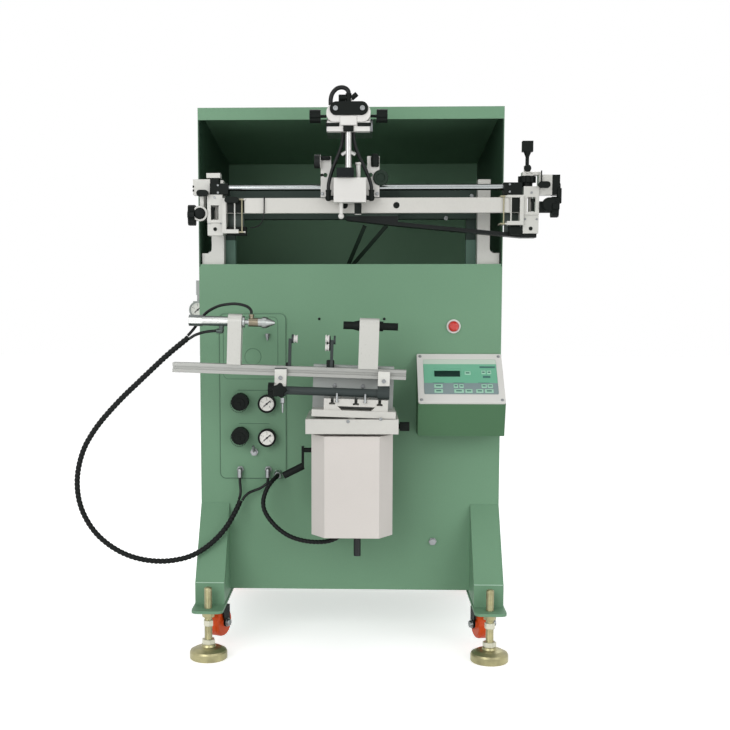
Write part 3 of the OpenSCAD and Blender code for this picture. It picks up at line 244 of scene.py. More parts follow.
M = {
    "green": material("cabinet_green", "#6a9073", worn="#b4c0b5", **PAINT),
    # Green outside, and dark between the sheets from the deck up: painted shade on their inner faces
    "sides": material("side_sheet_green_inner_shade", "#6a9073", worn="#b4c0b5", **PAINT, bands=[
        ("#2a4432", "X", side_low[0] + EDGE_RADIUS, side_high[0] - EDGE_RADIUS, 0), below("#6a9073", 846)]),
    # A darker copy of the cabinet green: painted shade on the control box, whose front faces down and away
    # from the light
    "box": material("control_box_shaded_green", "#456b4b", worn="#8fa592", **PAINT),
    "inside": material("inside_steel", "#2a3731", 0.5, specular=0.2, grain=500, bump=0.08, spread=0.08,
                       wear=0.3, worn="#6f7a74", bands=[below("#5b776a", 905)]),
    "faded_black": material("dark_knob", "#1c2a21", 0.5, specular=0.15, grain=900, bump=0.08, spread=0.06,
                            wear=0.2, worn="#4d5a52"),
    "zinc": material("yellow_zinc", "#a9a37c", 0.36, metal=0.8, grain=500, bump=0.05, spread=0.14, blotch=40,
                     wear=0.5, worn="#dedbc8", speckle=0.10),
    "black": material("black_plastic", "#0b110e", 0.5, specular=0.12, grain=1400, bump=0.10, spread=0.08,
                      wear=0.2, worn="#3a3d3d"),
    "dark_steel": material("dark_steel", "#101413", 0.45, metal=0.3, specular=0.2, grain=600, bump=0.06,
                           wear=0.4, worn="#6c7072"),
    "orange": material("orange_tyre", "#dd4f16", 0.42, specular=0.3, grain=800, bump=0.06, spread=0.06,
                       blotch=30, speckle=0.08),
    "white": material("white_plastic", "#d2d1cd", **MOULDED),
    "squeegee": material("squeegee_white", "#cecdc9", specular=0.2, **MOULDED, bands=[
        ("#101413", "X", -FAR, at(-60.2, 0, 0).x, 0)]),
    "enamel": material("white_enamel", "#bdbdb7", 0.32, coat=0.3, wear=0.25, worn="#a9a8a1", **ENAMEL),
    # The clamps' thin rods are of brass
    "clamps": material("clamp_enamel", "#bdbdb7", 0.34, coat=0.2, wear=0.25, worn="#a9a8a1", **ENAMEL, bands=[
        band_x("#8b866a", -231, -220, 0.3), band_x("#8b866a", 311, 321, 0.3)]),
    "cover": material("cover_enamel", "#cac5c0", 0.4, specular=0.3, coat=0.05, wear=0.2, worn="#b0aea8",
                      **ENAMEL, bands=[below("#15191a", 287.5)]),
    "cream": material("cream_enamel", "#bfbeb8", 0.36, coat=0.2, grain=300, bump=0.06, spread=0.03,
                      speckle=0.03, wear=0.3, worn="#9a9992"),
    "grey": material("grey_enamel", "#a3a8a5", 0.4, grain=500, bump=0.07, spread=0.04, wear=0.3,
                     worn="#d0d2d0"),
    "slate": material("slate_paint", "#27302f", **DARK_PAINT, bands=[
        ("#cfcfc9", "Z", at(0, 0, 600).z, at(0, 0, 634).z, 0)]),
    "saddle": material("saddle_paint", "#333e39", **DARK_PAINT),
    "steel": material("plated_steel", "#909394", 0.32, metal=1.0, grain=420, bump=0.03, spread=0.05,
                      blotch=30, speckle=0.06),
    # The rod's foot stands in the dark. The chrome rod's upper and lower edges are painted dark, a painted
    # reflection
    "rod": material("lift_rod_steel", "#a9a9a7", 0.3, specular=0.1, metal=1.0, grain=420, bump=0.02,
                    spread=0.05, blotch=30, bands=[below("#15191a", 1040.4)]),
    "chrome": material("hard_chrome", "#a0a5a5", 0.2, metal=1.0, grain=300, bump=0.005, spread=0.02,
                       speckle=0.01, bands=[below("#1d2422", 1003.4), above("#1d2422", 1010.8)]),
    "aluminium": material("extrusion", "#9c9d99", 0.38, metal=0.6, grain=260, bump=0.05, spread=0.05,
                          stretch=(0.05, 1, 1), speckle=0.06),
    "nozzle": material("nozzle_metal", "#999d9b", 0.32, metal=1.0, grain=500, bump=0.04, spread=0.07,
                       speckle=0.06, bands=[band_x("#7a7262", -204, -185, 1)]),
    # The barrel's underside and top are painted darker than its middle: painted shade and painted reflection
    # along the round barrel
    "barrel": material("cylinder_barrel", "#c6c8c5", 0.3, metal=0.7, grain=420, bump=0.03, spread=0.04,
                       specular=0.3, bands=[below("#47524e", 726.5, 0.4), above("#7d8381", 738, 0.7)]),
    "lens": material("red_lens", "#c02c26", 0.14, coat=0.8, grain=300, bump=0.02, spread=0.05),
    "hose": material("spiral_wrap", "#0d1110", 0.42, specular=0.15, grain=1200, bump=0.08, spread=0.10,
                     speckle=0.10),
    "tube": material("air_tube", "#0d1111", 0.36, specular=0.2, coat=0.05, grain=900, bump=0.03, spread=0.08),
    "overlay": material("membrane", "#66ab8c", 0.34, coat=0.2, grain=600, bump=0.02, spread=0.02,
                        speckle=0.02, bands=[below("#788a8b", 597), above("#b9c9bb", 635)]),
    "key": material("membrane_key", "#9ccbb2", 0.34, **PRINT),
    "key_ink": material("key_ink", "#3b6b62", 0.4, **PRINT),
    "line": material("engraved_line", "#3f6149", 0.5, **PRINT),
    "nut": material("bright_nut", "#cfcdba", 0.36, metal=0.6, grain=500, bump=0.04, spread=0.05),
    # Pale green for the painted highlight along the legs' joints
    "joint_highlight": material("leg_joint_highlight", "#a6c6af", 0.5, **PRINT),
    "ink": material("black_ink", "#1b1c1d", 0.4, grain=700, bump=0.02, spread=0.02),
    "dial": material("dial_card", "#e3e2dc", 0.5, grain=900, bump=0.02, spread=0.02),
    "lcd": material("display_glass", "#0d2b24", 0.4, specular=0.15, grain=400, bump=0.01, spread=0.05),
}

LOOKS = {
    "sides": ["side_panels"],
    "green": ["front_panel", "rear_panel", "cabinet_floor", "hood_roof", "deck_plate",
              "leg_housings", "pneumatic_panel"],
    "box": ["control_box"],
    "zinc": ["levelling_feet"],
    "dark_steel": ["caster_fork_" + c for c in ("fl", "fr", "rl", "rr")] + ["tray_bar"],
    "orange": ["caster_wheel_" + c for c in ("fl", "fr", "rl", "rr")],
    "white": ["control_bezel", "head_blocks"],
    "squeegee": ["squeegee_block"],
    "enamel": ["spindle_arms", "uprights"],
    "clamps": ["clamp_frames"],
    "cover": ["motor_cover"],
    "overlay": ["control_overlay"],
    "lens": ["power_lamp"],
    "black": ["regulator_knobs", "pressure_gauges", "clamp_blocks", "clamp_knobs", "clamp_lever",
              "head_knobs", "table_knobs", "tail_spindle", "hand_crank"],
    "barrel": ["clamp_cylinder"],
    "steel": ["panel_fittings", "head_bracket", "table_way"],
    "rod": ["squeegee_rod"],
    "chrome": ["chrome_rod"],
    "grey": ["air_filter_regulator", "rail_column"],
    "inside": ["guide_beam", "carriage_slide"],
    "saddle": ["table_saddle"],
    "slate": ["support_bar"],
    "cream": ["screen_beam", "table_base", "t_slot_block"],
    "aluminium": ["object_rail"],
    "nozzle": ["air_nozzle"],
}
for look, names in LOOKS.items():
    for name in names:
        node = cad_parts[name]
        node.data.materials.clear()
        node.data.materials.append(M[look])


# Mesh helpers

def piece(name, bm, look, body):
    """Makes a piece of the scene from bm, riding a body if one is named."""
    mesh = bpy.data.meshes.new(name)
    bmesh.ops.recalc_face_normals(bm, faces=bm.faces)
    bm.to_mesh(mesh)
    bm.free()
    mesh.materials.append(M[look])
    obj = bpy.data.objects.new(name, mesh)
    bpy.context.scene.collection.objects.link(obj)
    mesh.shade_smooth()
    mesh.set_sharp_from_angle(angle=math.radians(32))
    if body:
        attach(obj, body)
    return obj


def turned(bm, origin, axis, profile, sides=24):
    """Revolves (radius, height) pairs, in mm, about an axis from an origin in metres."""
    axis = axis.normalized()
    side = axis.orthogonal().normalized()
    other = axis.cross(side)
    rings = []
    for radius, height in profile:
        centre = origin + axis * height / 1000
        if radius == 0:
            rings.append([bm.verts.new(centre)])
            continue
        rings.append([bm.verts.new(centre + (side * math.cos(a) + other * math.sin(a)) * radius / 1000)
                      for a in (2 * math.pi * k / sides for k in range(sides))])
    for a, b in zip(rings, rings[1:]):
        for k in range(sides):
            m = (k + 1) % sides
            if len(a) == 1:
                bm.faces.new((a[0], b[k], b[m]))
            elif len(b) == 1:
                bm.faces.new((a[k], a[m], b[0]))
            else:
                bm.faces.new((a[k], a[m], b[m], b[k]))


def slab(bm, centre, size, turn=None, bevel=0.0):
    """A box of that size in mm about a centre in metres, with its edges rounded."""
    made = bmesh.ops.create_cube(bm, size=1)["verts"]
    matrix = Matrix.Translation(centre) @ (turn or Matrix.Identity(4)) @ Matrix.Diagonal(
        [s / 1000 for s in size] + [1])
    bmesh.ops.transform(bm, matrix=matrix, verts=made)
    if bevel:
        edges = list({e for v in made for e in v.link_edges})
        bmesh.ops.bevel(bm, geom=edges, offset=bevel / 1000, segments=2, profile=0.5, affect="EDGES")


def socket_screw(bm, origin, axis, r, h):
    """A cap screw whose head stands on origin, with a sunk socket."""
    turned(bm, origin, axis, [(r, 0), (r, h * 0.85), (r * 0.9, h), (r * 0.55, h), (r * 0.5, h * 0.4),
                              (0, h * 0.4)])


def pan_screw(bm, origin, axis, r):
    """A domed screw with a small pit in its head and a flat washer."""
    turned(bm, origin, axis, [(r * 1.35, 0), (r * 1.35, 0.8), (r, 0.8), (r * 0.95, 1.6), (r * 0.7, 2.4),
                              (r * 0.25, 2.8), (r * 0.2, 1.9), (0, 1.9)])


def hex_bolt(bm, origin, axis, r, h):
    """A six-sided head with a collar under it."""
    turned(bm, origin, axis, [(r * 1.25, 0), (r * 1.25, 1), (r, 1), (r, h), (r * 0.85, h + 0.4),
                              (0, h + 0.4)], 6)


PITCH, THREAD_DEPTH = 1.75, 0.35


def thread(bm, origin, axis, r, length):
    """Ridges round a stud."""
    profile = [(r - THREAD_DEPTH, 0)]
    for k in range(int(length / PITCH)):
        profile += [(r, (k + 0.5) * PITCH), (r - THREAD_DEPTH, (k + 1) * PITCH)]
    turned(bm, origin, axis, profile, 20)


def smooth_route(points, step):
    """Points on a smooth curve through the given ones, about step mm apart."""
    out = []
    ends = [2 * points[0] - points[1]] + points + [2 * points[-1] - points[-2]]
    for i in range(1, len(ends) - 2):
        a, b, c, d = ends[i - 1:i + 3]
        count = max(1, round((c - b).length * 1000 / step))
        for k in range(count):
            t = k / count
            out.append(0.5 * ((2 * b) + (c - a) * t + (2 * a - 5 * b + 4 * c - d) * t * t
                              + (3 * b - a - 3 * c + d) * t ** 3))
    out.append(points[-1])
    return out


# Half the share of each turn of the spiral wrap that is open
GAP = 0.22


def hose(name, route, diameter, look, step=2.0, sides=14, wrap=0.0, pitch=9.0):
    """A tube along a route. wrap is how deep, in mm, the open spiral round it is cut, pitch mm a turn."""
    path = smooth_route([at(*p) for p in route], step)
    bm = bmesh.new()
    rings = []
    up = (path[1] - path[0]).orthogonal().normalized()
    run = 0.0
    for i, centre in enumerate(path):
        ahead = (path[min(i + 1, len(path) - 1)] - path[max(i - 1, 0)]).normalized()
        up = (up - ahead * up.dot(ahead)).normalized()
        across = ahead.cross(up)
        run += (centre - path[i - 1]).length * 1000 if i else 0
        ring = []
        for k in range(sides):
            phase = (run / pitch - k / sides) % 1
            cut = wrap * max(0.0, 1 - abs(phase - 0.5) / GAP) ** 0.5 if wrap else 0
            a = 2 * math.pi * k / sides
            out = up * math.cos(a) + across * math.sin(a)
            ring.append(bm.verts.new(centre + out * (diameter / 2 - cut) / 1000))
        rings.append(ring)
    for a, b in zip(rings, rings[1:]):
        for k in range(sides):
            m = (k + 1) % sides
            bm.faces.new((a[k], a[m], b[m], b[k]))
    bm.faces.new(rings[0])
    bm.faces.new(rings[-1])
    length = sum((b - a).length for a, b in zip(path, path[1:]))
    return piece(name, bm, look, None), path, length


MAIN = [
    (-330, -165, 697), (-345, -164, 685), (-365, -162, 669), (-387, -160, 650), (-412, -157, 627),
    (-440, -155, 601), (-470, -152, 573), (-497, -150, 545), (-520, -148, 519), (-540, -145, 492),
    (-556, -143, 464), (-567, -141, 433), (-573, -140, 400), (-573, -138, 366), (-567, -135, 334),
    (-555, -132, 305), (-538, -129, 279), (-516, -126, 257), (-489, -122, 238), (-460, -118, 225),
    (-430, -112, 217), (-400, -106, 214), (-370, -99, 216), (-343, -91, 222), (-319, -81, 233),
    (-298, -72, 248), (-280, -62, 265), (-265, -51, 284), (-254, -41, 303), (-246, -33, 319),
    (-240, -28, 333)]
PORT_A = [(-243.2, -27, 335.4), (-241, -23, 343), (-240, -20, 352), (-241, -17, 363), (-242, -16, 374),
          (-242, -16, 383)]
PORT_B = [(-236, -27, 333.4), (-231, -24, 341), (-222, -21, 349), (-210, -18, 354), (-197, -17, 359),
          (-188, -16, 365), (-182, -16, 370), (-180, -16, 377), (-180, -16, 383)]
NOZZLE = [(-331.2, -165, 701), (-325, -162, 708), (-318, -158, 717), (-311, -156, 727), (-303, -156, 738),
          (-293, -158, 748), (-280, -162, 756), (-265, -167, 762), (-249, -171, 765), (-233, -173, 766),
          (-218, -174, 764), (-207, -174, 760), (-200, -174, 753), (-198.8, -174, 745.8)]
CYLINDER = [(-326.8, -165, 695.4), (-318, -166, 701), (-308, -167, 705), (-297, -170, 708), (-284, -173, 710),
            (-271.2, -174, 711)]
MOTOR = [(-158, -22, 389), (-158, -32, 389), (-162, -43, 386), (-169, -51, 379), (-177, -57, 368),
         (-183, -63, 354), (-186, -68, 339), (-184, -74, 324), (-176, -80, 309), (-164, -86, 295),
         (-149, -92, 282), (-131, -97, 271), (-111, -102, 264), (-90, -105, 260), (-69, -108, 259),
         (-48, -111, 261), (-28, -113, 268), (-13, -115, 281), (-6, -115, 293), (-6, -115, 304)]
HEAD = [(-38, -154, 1168), (-38, -154, 1176), (-36, -154, 1185), (-32, -154, 1192), (-25, -154, 1198),
        (-17, -154, 1200), (-10, -154, 1199), (-5, -154, 1196), (-2.4, -154, 1192), (-2, -154, 1188.8)]


def cord(name, route, diameter, look, slot, replaced=(), ride=None, blend=None, backwards=False,
         stiffness="medium", **shape):
    """blend is (body at the start, body at the end, start, end). backwards is for a route written from its
    far end.
    """
    obj, path, length = hose(name, route, diameter, look, **shape)
    if blend:
        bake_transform(obj)
    else:
        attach(obj, ride)
    if replaced:
        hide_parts(*replaced)
    if backwards:
        path = path[::-1]


SQUEEGEE_LEFT = [(-13, -147, 1118), (-13, -144, 1109), (-14, -141, 1098), (-17, -139, 1084),
                 (-23, -138, 1068), (-30, -137, 1052), (-36, -136, 1036), (-40.5, -135.5, 1020),
                 (-43, -135.5, 1006), (-43, -135.5, 997)]
SQUEEGEE_RIGHT = [(8, -147, 1118), (8, -144, 1109), (9, -141, 1098), (12, -139, 1084), (18, -138, 1068),
                  (26, -137, 1052), (34, -136, 1036), (40.5, -135.5, 1020), (44.5, -135.5, 1006),
                  (45, -135.5, 997)]
BEAM_WIRE = [(-177.4, -103, 987), (-177.4, -109, 981), (-177.4, -110.5, 966), (-178, -110.5, 951),
             (-181, -109, 938), (-188, -104, 929), (-198, -99, 925), (-208, -95, 924)]

cord("port_tube_left", PORT_A, 6, "tube", "black_hose", ["port_tubes"], ride="cabinet", backwards=True,
     sides=12)
cord("port_tube_right", PORT_B, 6, "tube", "black_hose", ["port_tubes"], ride="cabinet", backwards=True,
     sides=12)
cord("wrapped_hose", MAIN, 12, "hose", "black_hose", ["main_hose"], backwards=True, step=1.6, sides=16,
     wrap=1.2, blend=("cabinet", "table", at(-240, -28, 333), at(-330, -165, 697)), stiffness="stiff")
cord("nozzle_air_tube", NOZZLE, 6, "tube", "black_hose", ["nozzle_tube"], sides=12,
     blend=("table", "nozzle", at(-331, -165, 701), at(-198.8, -174, 745.8)))
cord("cylinder_air_tube", CYLINDER, 6, "tube", "black_hose", ["cylinder_tube"], ride="table", sides=12)
cord("motor_lead", MOTOR, 10, "hose", "black_hose", ["motor_cable"], step=1.6, wrap=0.9, pitch=8,
     blend=("cabinet", "table", at(-158, -22, 389), at(-6, -115, 304)))
cord("head_air_hose", HEAD, 9, "tube", "black_hose", ["head_hose"], ride="cabinet", stiffness="limp")
for name, route in (("squeegee_hose_left", SQUEEGEE_LEFT), ("squeegee_hose_right", SQUEEGEE_RIGHT)):
    cord(name, route, 7.5, "tube", "black_hose", stiffness="limp",
         blend=("cabinet", "squeegee", at(*route[0]), at(*route[-1])))
cord("beam_wire", BEAM_WIRE, 2.6, "tube", "black_hose", ride="carriage", sides=10, stiffness="limp")


# Fasteners and fittings that the CAD leaves out

def cabinet_screws():
    bm = bmesh.new()
    for x, z in ((-67, 732), (75, 732)):
        pan_screw(bm, at(x, 0, z), -Y, 2.2)
    for s in (-1, 1):
        for y in (60, 280, 500):
            for z in (150, 600, 1080):
                pan_screw(bm, at(s * 330, y, z), s * X, 3.5)
    for x in (-300, -100, 100, 300):
        for z in (140, 420, 800, 1100):
            pan_screw(bm, at(x, 560, z), Y, 3.5)
    piece("cabinet_screws", bm, "dark_steel", "cabinet")


STUDS = [(x, y) for x in (-298.5, 298.5) for y in (-137, 515)]


def stud_threads():
    """The levelling studs' thread, below and above the skid plates."""
    bm = bmesh.new()
    for x, y in STUDS:
        thread(bm, ground(x, y, 41.5), Z, 8.4, 48)
        thread(bm, ground(x, y, 109.5), Z, 8.4, 42)
    piece("stud_threads", bm, "zinc", "cabinet")


def leg_joint_highlights():
    """A painted highlight: a pale line along the joint over each front skid plate."""
    bm = bmesh.new()
    for x in (-298, 298):
        slab(bm, ground(x, -110.3, 157), (61, 0.8, 2), None, 0.2)
    piece("leg_joint_highlights", bm, "joint_highlight", "cabinet")


def foot_nuts():
    """A bright nut halfway up each stud and one on its pad."""
    bm = bmesh.new()
    for x, y in STUDS:
        for z, r, h in ((70, 10.8, 13), (31, 14.6, 11)):
            turned(bm, ground(x, y, z), Z,
                   [(0, 0), (r * 0.92, 0), (r, 1), (r, h - 1), (r * 0.92, h), (0, h)], 6)
    piece("foot_nuts", bm, "nut", "cabinet")


# The control box's sloped face, from its lower left corner
FACE_RISE, FACE_DEPTH = 98, 100
SLOPE = math.atan2(FACE_RISE, FACE_DEPTH)
FACE_LENGTH = math.hypot(FACE_RISE, FACE_DEPTH)
FACE_TURN = Matrix.Rotation(SLOPE, 4, "X")


def face_point(x, u, lift):
    """A point x mm along the face, u mm up it and lift mm off it."""
    normal = Vector((0, -math.sin(SLOPE), math.cos(SLOPE)))
    return at(146 + x, u * math.cos(SLOPE) - FACE_DEPTH, 555 + u * math.sin(SLOPE)) + normal * lift / 1000


def bezel_screws():
    bm = bmesh.new()
    normal = face_point(0, 0, 1000) - face_point(0, 0, 0)
    for x in (7, 177):
        for u in (8, FACE_LENGTH - 8):
            pan_screw(bm, face_point(x, u, 4), normal, 2.6)
    piece("bezel_screws", bm, "steel", "cabinet")


def control_keys():
    """The display window, the keys with a mark on each, and bars in place of the printed words."""
    keys = bmesh.new()
    ink = bmesh.new()
    glass = bmesh.new()
    slab(glass, face_point(64, 82, 4.2), (55, 17, 0.6), FACE_TURN, 0.2)
    for x, u, w in ((108, 84, 13), (142, 86, 9), (154, 86, 9), (44, 47, 18), (81, 47, 9), (93, 47, 9),
                    (141, 47, 11), (154, 47, 11), (44, 33, 18), (87, 33, 20), (108, 33, 15),
                    (131, 33, 15), (151, 33, 18)):
        slab(keys, face_point(x, u, 4.4), (w, 10, 0.7), FACE_TURN, 0.3)
        slab(ink, face_point(x, u, 4.85), (w * 0.6, 3.4, 0.2), FACE_TURN)
    slab(ink, face_point(148, 73, 4.3), (16, 6, 0.3), FACE_TURN)
    slab(ink, face_point(151, 101, 4.3), (33, 5, 0.3), FACE_TURN)
    for x in (44, 87, 141):
        slab(ink, face_point(x, 56, 4.3), (24, 1.0, 0.3), FACE_TURN)
    piece("membrane_keys", keys, "key", "cabinet")
    piece("key_marks", ink, "key_ink", "cabinet")
    piece("display_window", glass, "lcd", "cabinet")


def lamp_ring():
    bm = bmesh.new()
    turned(bm, at(226, 0, 716), -Y, [(11.3, 3.6), (15.3, 0), (15.3, 4.4), (14.6, 5.3), (12.2, 5.3),
                                     (11.3, 4.6), (11.3, 3.6)], 40)
    piece("lamp_ring", bm, "white", "cabinet")


def words(name, text, size, place, turn, look, body):
    """Raised text, size in mm, as a mesh that rides a body."""
    curve = bpy.data.curves.new(name, "FONT")
    curve.body = text
    curve.size = size / 1000
    curve.extrude = 0.00015
    curve.align_x = "CENTER"
    curve.align_y = "CENTER"
    obj = bpy.data.objects.new(name, curve)
    bpy.context.scene.collection.objects.link(obj)
    obj.matrix_world = Matrix.Translation(place) @ turn
    bpy.context.view_layer.update()
    mesh = bpy.data.meshes.new_from_object(obj)
    mesh.transform(obj.matrix_world)
    bpy.data.objects.remove(obj)
    out = bpy.data.objects.new(name, mesh)
    mesh.materials.clear()
    mesh.materials.append(M[look])
    bpy.context.scene.collection.objects.link(out)
    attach(out, body)


UPRIGHT = Matrix.Rotation(math.radians(90), 4, "X")
KNOB_X, GAUGE_X, ROWS = -242, -181, (547, 472)
DIAL_START, DIAL_SWEEP, TICKS = 225, 270, 20
NEEDLE = math.radians(40)
DIGIT_RADIUS = 9


def gauge_face(name, x, y, z):
    """A dial card with ticks, a needle and plain numbers."""
    card = bmesh.new()
    turned(card, at(x, y, z), -Y, [(0, 0), (15.6, 0), (15.6, 0.4), (0, 0.4)], 48)
    piece(name + "_card", card, "dial", "cabinet")
    marks = bmesh.new()
    for k in range(TICKS + 1):
        a = math.radians(DIAL_START - k * DIAL_SWEEP / TICKS)
        long = k % 5 == 0
        r = 13 if long else 13.6
        spot = at(x + r * math.cos(a), y - 0.5, z + r * math.sin(a))
        slab(marks, spot, (3.4 if long else 1.8, 0.3, 0.8 if long else 0.4), Matrix.Rotation(-a, 4, "Y"))
    slab(marks, at(x + math.cos(NEEDLE), y - 1.1, z + math.sin(NEEDLE)), (20, 0.5, 2.2),
         Matrix.Rotation(-NEEDLE, 4, "Y"))
    turned(marks, at(x, y - 0.4, z), -Y, [(2.2, 0), (2.2, 1.4), (1.4, 1.8), (0, 1.8)], 16)
    piece(name + "_marks", marks, "ink", "cabinet")
    for k, text in enumerate(("0", "2", "4", "6", "8")):
        a = math.radians(DIAL_START - k * DIAL_SWEEP / 4)
        spot = at(x + DIGIT_RADIUS * math.cos(a), y - 0.5, z + DIGIT_RADIUS * math.sin(a))
        words(name + "_digit_" + text, text, 4.4, spot, UPRIGHT, "ink", "cabinet")


def ribbon(bm, points, width, depth):
    """A closed flat line, in mm, through (x, z) points on a plane that faces the front."""
    count = len(points)
    rings = []
    for k, (x, z) in enumerate(points):
        ahead = Vector(points[(k + 1) % count]) - Vector(points[k - 1])
        out = Vector((ahead.y, -ahead.x)).normalized() * width / 2
        rings.append([bm.verts.new(at(x + s * out.x, depth - d, z + s * out.y)) for s, d in
                      ((-1, 0), (-1, 0.3), (1, 0.3), (1, 0))])
    for k in range(count):
        a, b = rings[k], rings[(k + 1) % count]
        for m in range(4):
            bm.faces.new((a[m], a[(m + 1) % 4], b[(m + 1) % 4], b[m]))


def rounded_loop(x0, x1, z0, z1, r):
    """The (x, z) points of a rectangle with rounded corners."""
    loop = []
    for cx, cz, start in ((x1 - r, z1 - r, 0), (x0 + r, z1 - r, 90), (x0 + r, z0 + r, 180),
                          (x1 - r, z0 + r, 270)):
        for k in range(9):
            a = math.radians(start + k * 90 / 8)
            loop.append((cx + r * math.cos(a), cz + r * math.sin(a)))
    return loop


RIBS, RIB_RADIUS = 28, 18.4


def panel_lines():
    """The outlines drawn on the pneumatic panel, and the ribs and caps on its two knobs."""
    front = front_of("pneumatic_panel")
    lines = bmesh.new()
    ribbon(lines, rounded_loop(-286.5, -140.5, 379, 743, 12), 1.6, front)
    for x0, x1, z in ((-247, -176, 575), (-245, -177, 501)):
        slab(lines, at((x0 + x1) / 2, front - 0.15, z), (x1 - x0, 0.3, 1.2))
    piece("panel_outline", lines, "line", "cabinet")
    lines = bmesh.new()
    ribbon(lines, rounded_loop(-278, -158, 600, 736, 11), 1.0, front)
    ribbon(lines, rounded_loop(-231, -195, 631, 667, 17.9), 1.0, front)
    piece("panel_fine_lines", lines, "line", "cabinet")
    ribs = bmesh.new()
    face = front_of("regulator_knobs")
    for z in ROWS:
        turned(ribs, at(KNOB_X, face, z), -Y, [(11, 0), (14, 0), (13.6, 0.9), (11.4, 0.9), (11, 0)], 40)
        turned(ribs, at(KNOB_X, face, z), -Y, [(0, 0), (6, 0), (5.6, 1.1), (0, 1.1)], 4)
        for k in range(RIBS):
            a = 2 * math.pi * k / RIBS
            spot = at(KNOB_X + RIB_RADIUS * math.cos(a), face + 5, z + RIB_RADIUS * math.sin(a))
            slab(ribs, spot, (1.6, 9, 1.4), Matrix.Rotation(-a, 4, "Y"), 0.3)
    piece("knob_ribs", ribs, "black", "cabinet")


def carriage_screws():
    """Dark bolts on the beam and the clamps, and bright socket screws on the clamps."""
    bm = bmesh.new()
    for x in (-10, 97):
        turned(bm, at(x, -105.6, 969), -Y, [(0, 0), (6.6, 0), (6.6, 0.7), (4.2, 0.9), (3.6, 0.4), (0, 0.4)])
    for z in (1009, 1001):
        turned(bm, at(-324.6, -98, z), -X, [(0, 0), (3, 0), (3, 2.4), (2.2, 3.2), (0, 3.2)], 20)
    for x, z in ((-281, 921), (375, 921)):
        turned(bm, at(x, -101, z), -Y, [(0, 0), (4, 0), (4, 0.8), (2, 0.9), (1.6, 0.5), (0, 0.5)], 20)
    piece("beam_bolts", bm, "black", "carriage")
    bm = bmesh.new()
    for x in (-274, 330):
        for z in (996, 1011):
            socket_screw(bm, at(x, -106, z), -Y, 2.2, 2)
    for x, z in ((-281, 986), (375, 994)):
        socket_screw(bm, at(x, -105, z), -Y, 2.6, 1.6)
    for x in (-293, -269, 363, 387):
        socket_screw(bm, at(x, -101, 933 if x < 0 else 940), -Y, 2.2, 1.6)
    piece("carriage_screws", bm, "steel", "carriage")


def clamp_details():
    """Jaws over the beam's ends, their back plates, the clamping screws and two pale plates."""
    jaws = bmesh.new()
    for a, b in ((-255, -219), (334, 355)):
        slab(jaws, at((a + b) / 2, -107, 969), (b - a, 2.4, 30), None, 0.6)
        slab(jaws, at((a + b) / 2, -90, 917), (b - a + 6, 20, 18), None, 1.2)
    piece("clamp_jaws", jaws, "black", "carriage")
    plates = bmesh.new()
    for a, b in ((-256, -222), (322, 356)):
        slab(plates, at((a + b) / 2, -82, 945), (b - a, 3, 70), None, 0.8)
    piece("clamp_back_plates", plates, "saddle", "carriage")
    screws = bmesh.new()
    for x, z in ((-286, 942), (379, 957)):
        turned(screws, at(x, -98, z), Z, [(0, 0), (3, 0), (3, 19), (4.4, 19), (4.4, 25), (0, 25)], 20)
    for x, z, r in ((-312, 953, 12), (411, 969, 15)):
        turned(screws, at(x, -107, z), -Y, [(0, 0), (r, 0), (r, 4), (r * 0.8, 7), (r * 0.3, 8), (0, 8)], 32)
    slab(screws, at(433, -96, 988), (9, 14, 32), None, 2)
    slab(screws, at(395, -104, 1024), (2.4, 3, 30), None, 0.5)
    piece("clamp_screws", screws, "black", "carriage")
    pale = bmesh.new()
    turned(pale, at(-312, -106, 953), -Y, [(0, 0), (16, 0), (16, 3), (12.4, 3.6), (0, 3.6)], 36)
    slab(pale, at(378, -84, 1034), (34, 26, 7), None, 1.5)
    piece("clamp_plates", pale, "enamel", "carriage")


def strut(bm, start, end, width, thickness):
    """A flat bar, its width across the front, between two points in metres."""
    along = (end - start).normalized()
    across = along.cross(Y).normalized()
    turn = Matrix((across, along.cross(across), along)).transposed().to_4x4()
    slab(bm, (start + end) / 2, (width, thickness, (end - start).length * 1000), turn, 0.5)


def guide_straps():
    """Two dark straps from the guide beam's underside to the deck."""
    bm = bmesh.new()
    for top, foot in ((32, -6), (80, 4)):
        strut(bm, at(top, GUIDE_FRONT + 22, 937), at(foot, 130, 851.5), 9, 3)
    piece("guide_straps", bm, "faded_black", "cabinet")


def lever_details():
    """A thicker stem on the lever, and the cheek that covers its fork."""
    bm = bmesh.new()
    turned(bm, at(368, -84, 1047), Z, [(0, 0), (3.8, 0), (3.8, 30), (5.5, 36), (0, 36)], 20)
    turned(bm, at(368, -91.3, 1045), -Y, [(0, 0), (7.5, 0), (7.5, 2), (6.5, 3), (0, 3)], 28)
    piece("lever_stem", bm, "black", "lever")


def head_details():
    """The white bush block, the sleeve on top of the head and the dark clamping bars."""
    bm = bmesh.new()
    slab(bm, at(-2, -168, 1132.5), (34, 6, 19), None, 2)
    turned(bm, at(-2, -152, 1166.2), Z, [(0, 0), (7.4, 0), (7.4, 15), (6.4, 17), (0, 17)], 28)
    piece("head_bush", bm, "white", "cabinet")
    bm = bmesh.new()
    for x in (-34, 30):
        slab(bm, at(x, -164, 1125), (27, 5, 7), None, 1)
    slab(bm, at(-2, -165, 1117), (21, 6, 11), None, 1)
    piece("head_bars", bm, "black", "cabinet")


def support_screws():
    """Bolts at the uprights' feet, on the head's front and on the guide beam."""
    bm = bmesh.new()
    for s in (-1, 1):
        hex_bolt(bm, at(s * 308, 27, 875), Z, 5.5, 4)
    for s in (-1, 1):
        socket_screw(bm, at(-1 + s * 27, -171, 1156.5), -Y, 5, 3)
    for x, z in ((210, 952), (266, 1000)):
        hex_bolt(bm, at(x, GUIDE_FRONT, z), -Y, 4, 4)
    piece("support_screws", bm, "steel", "cabinet")


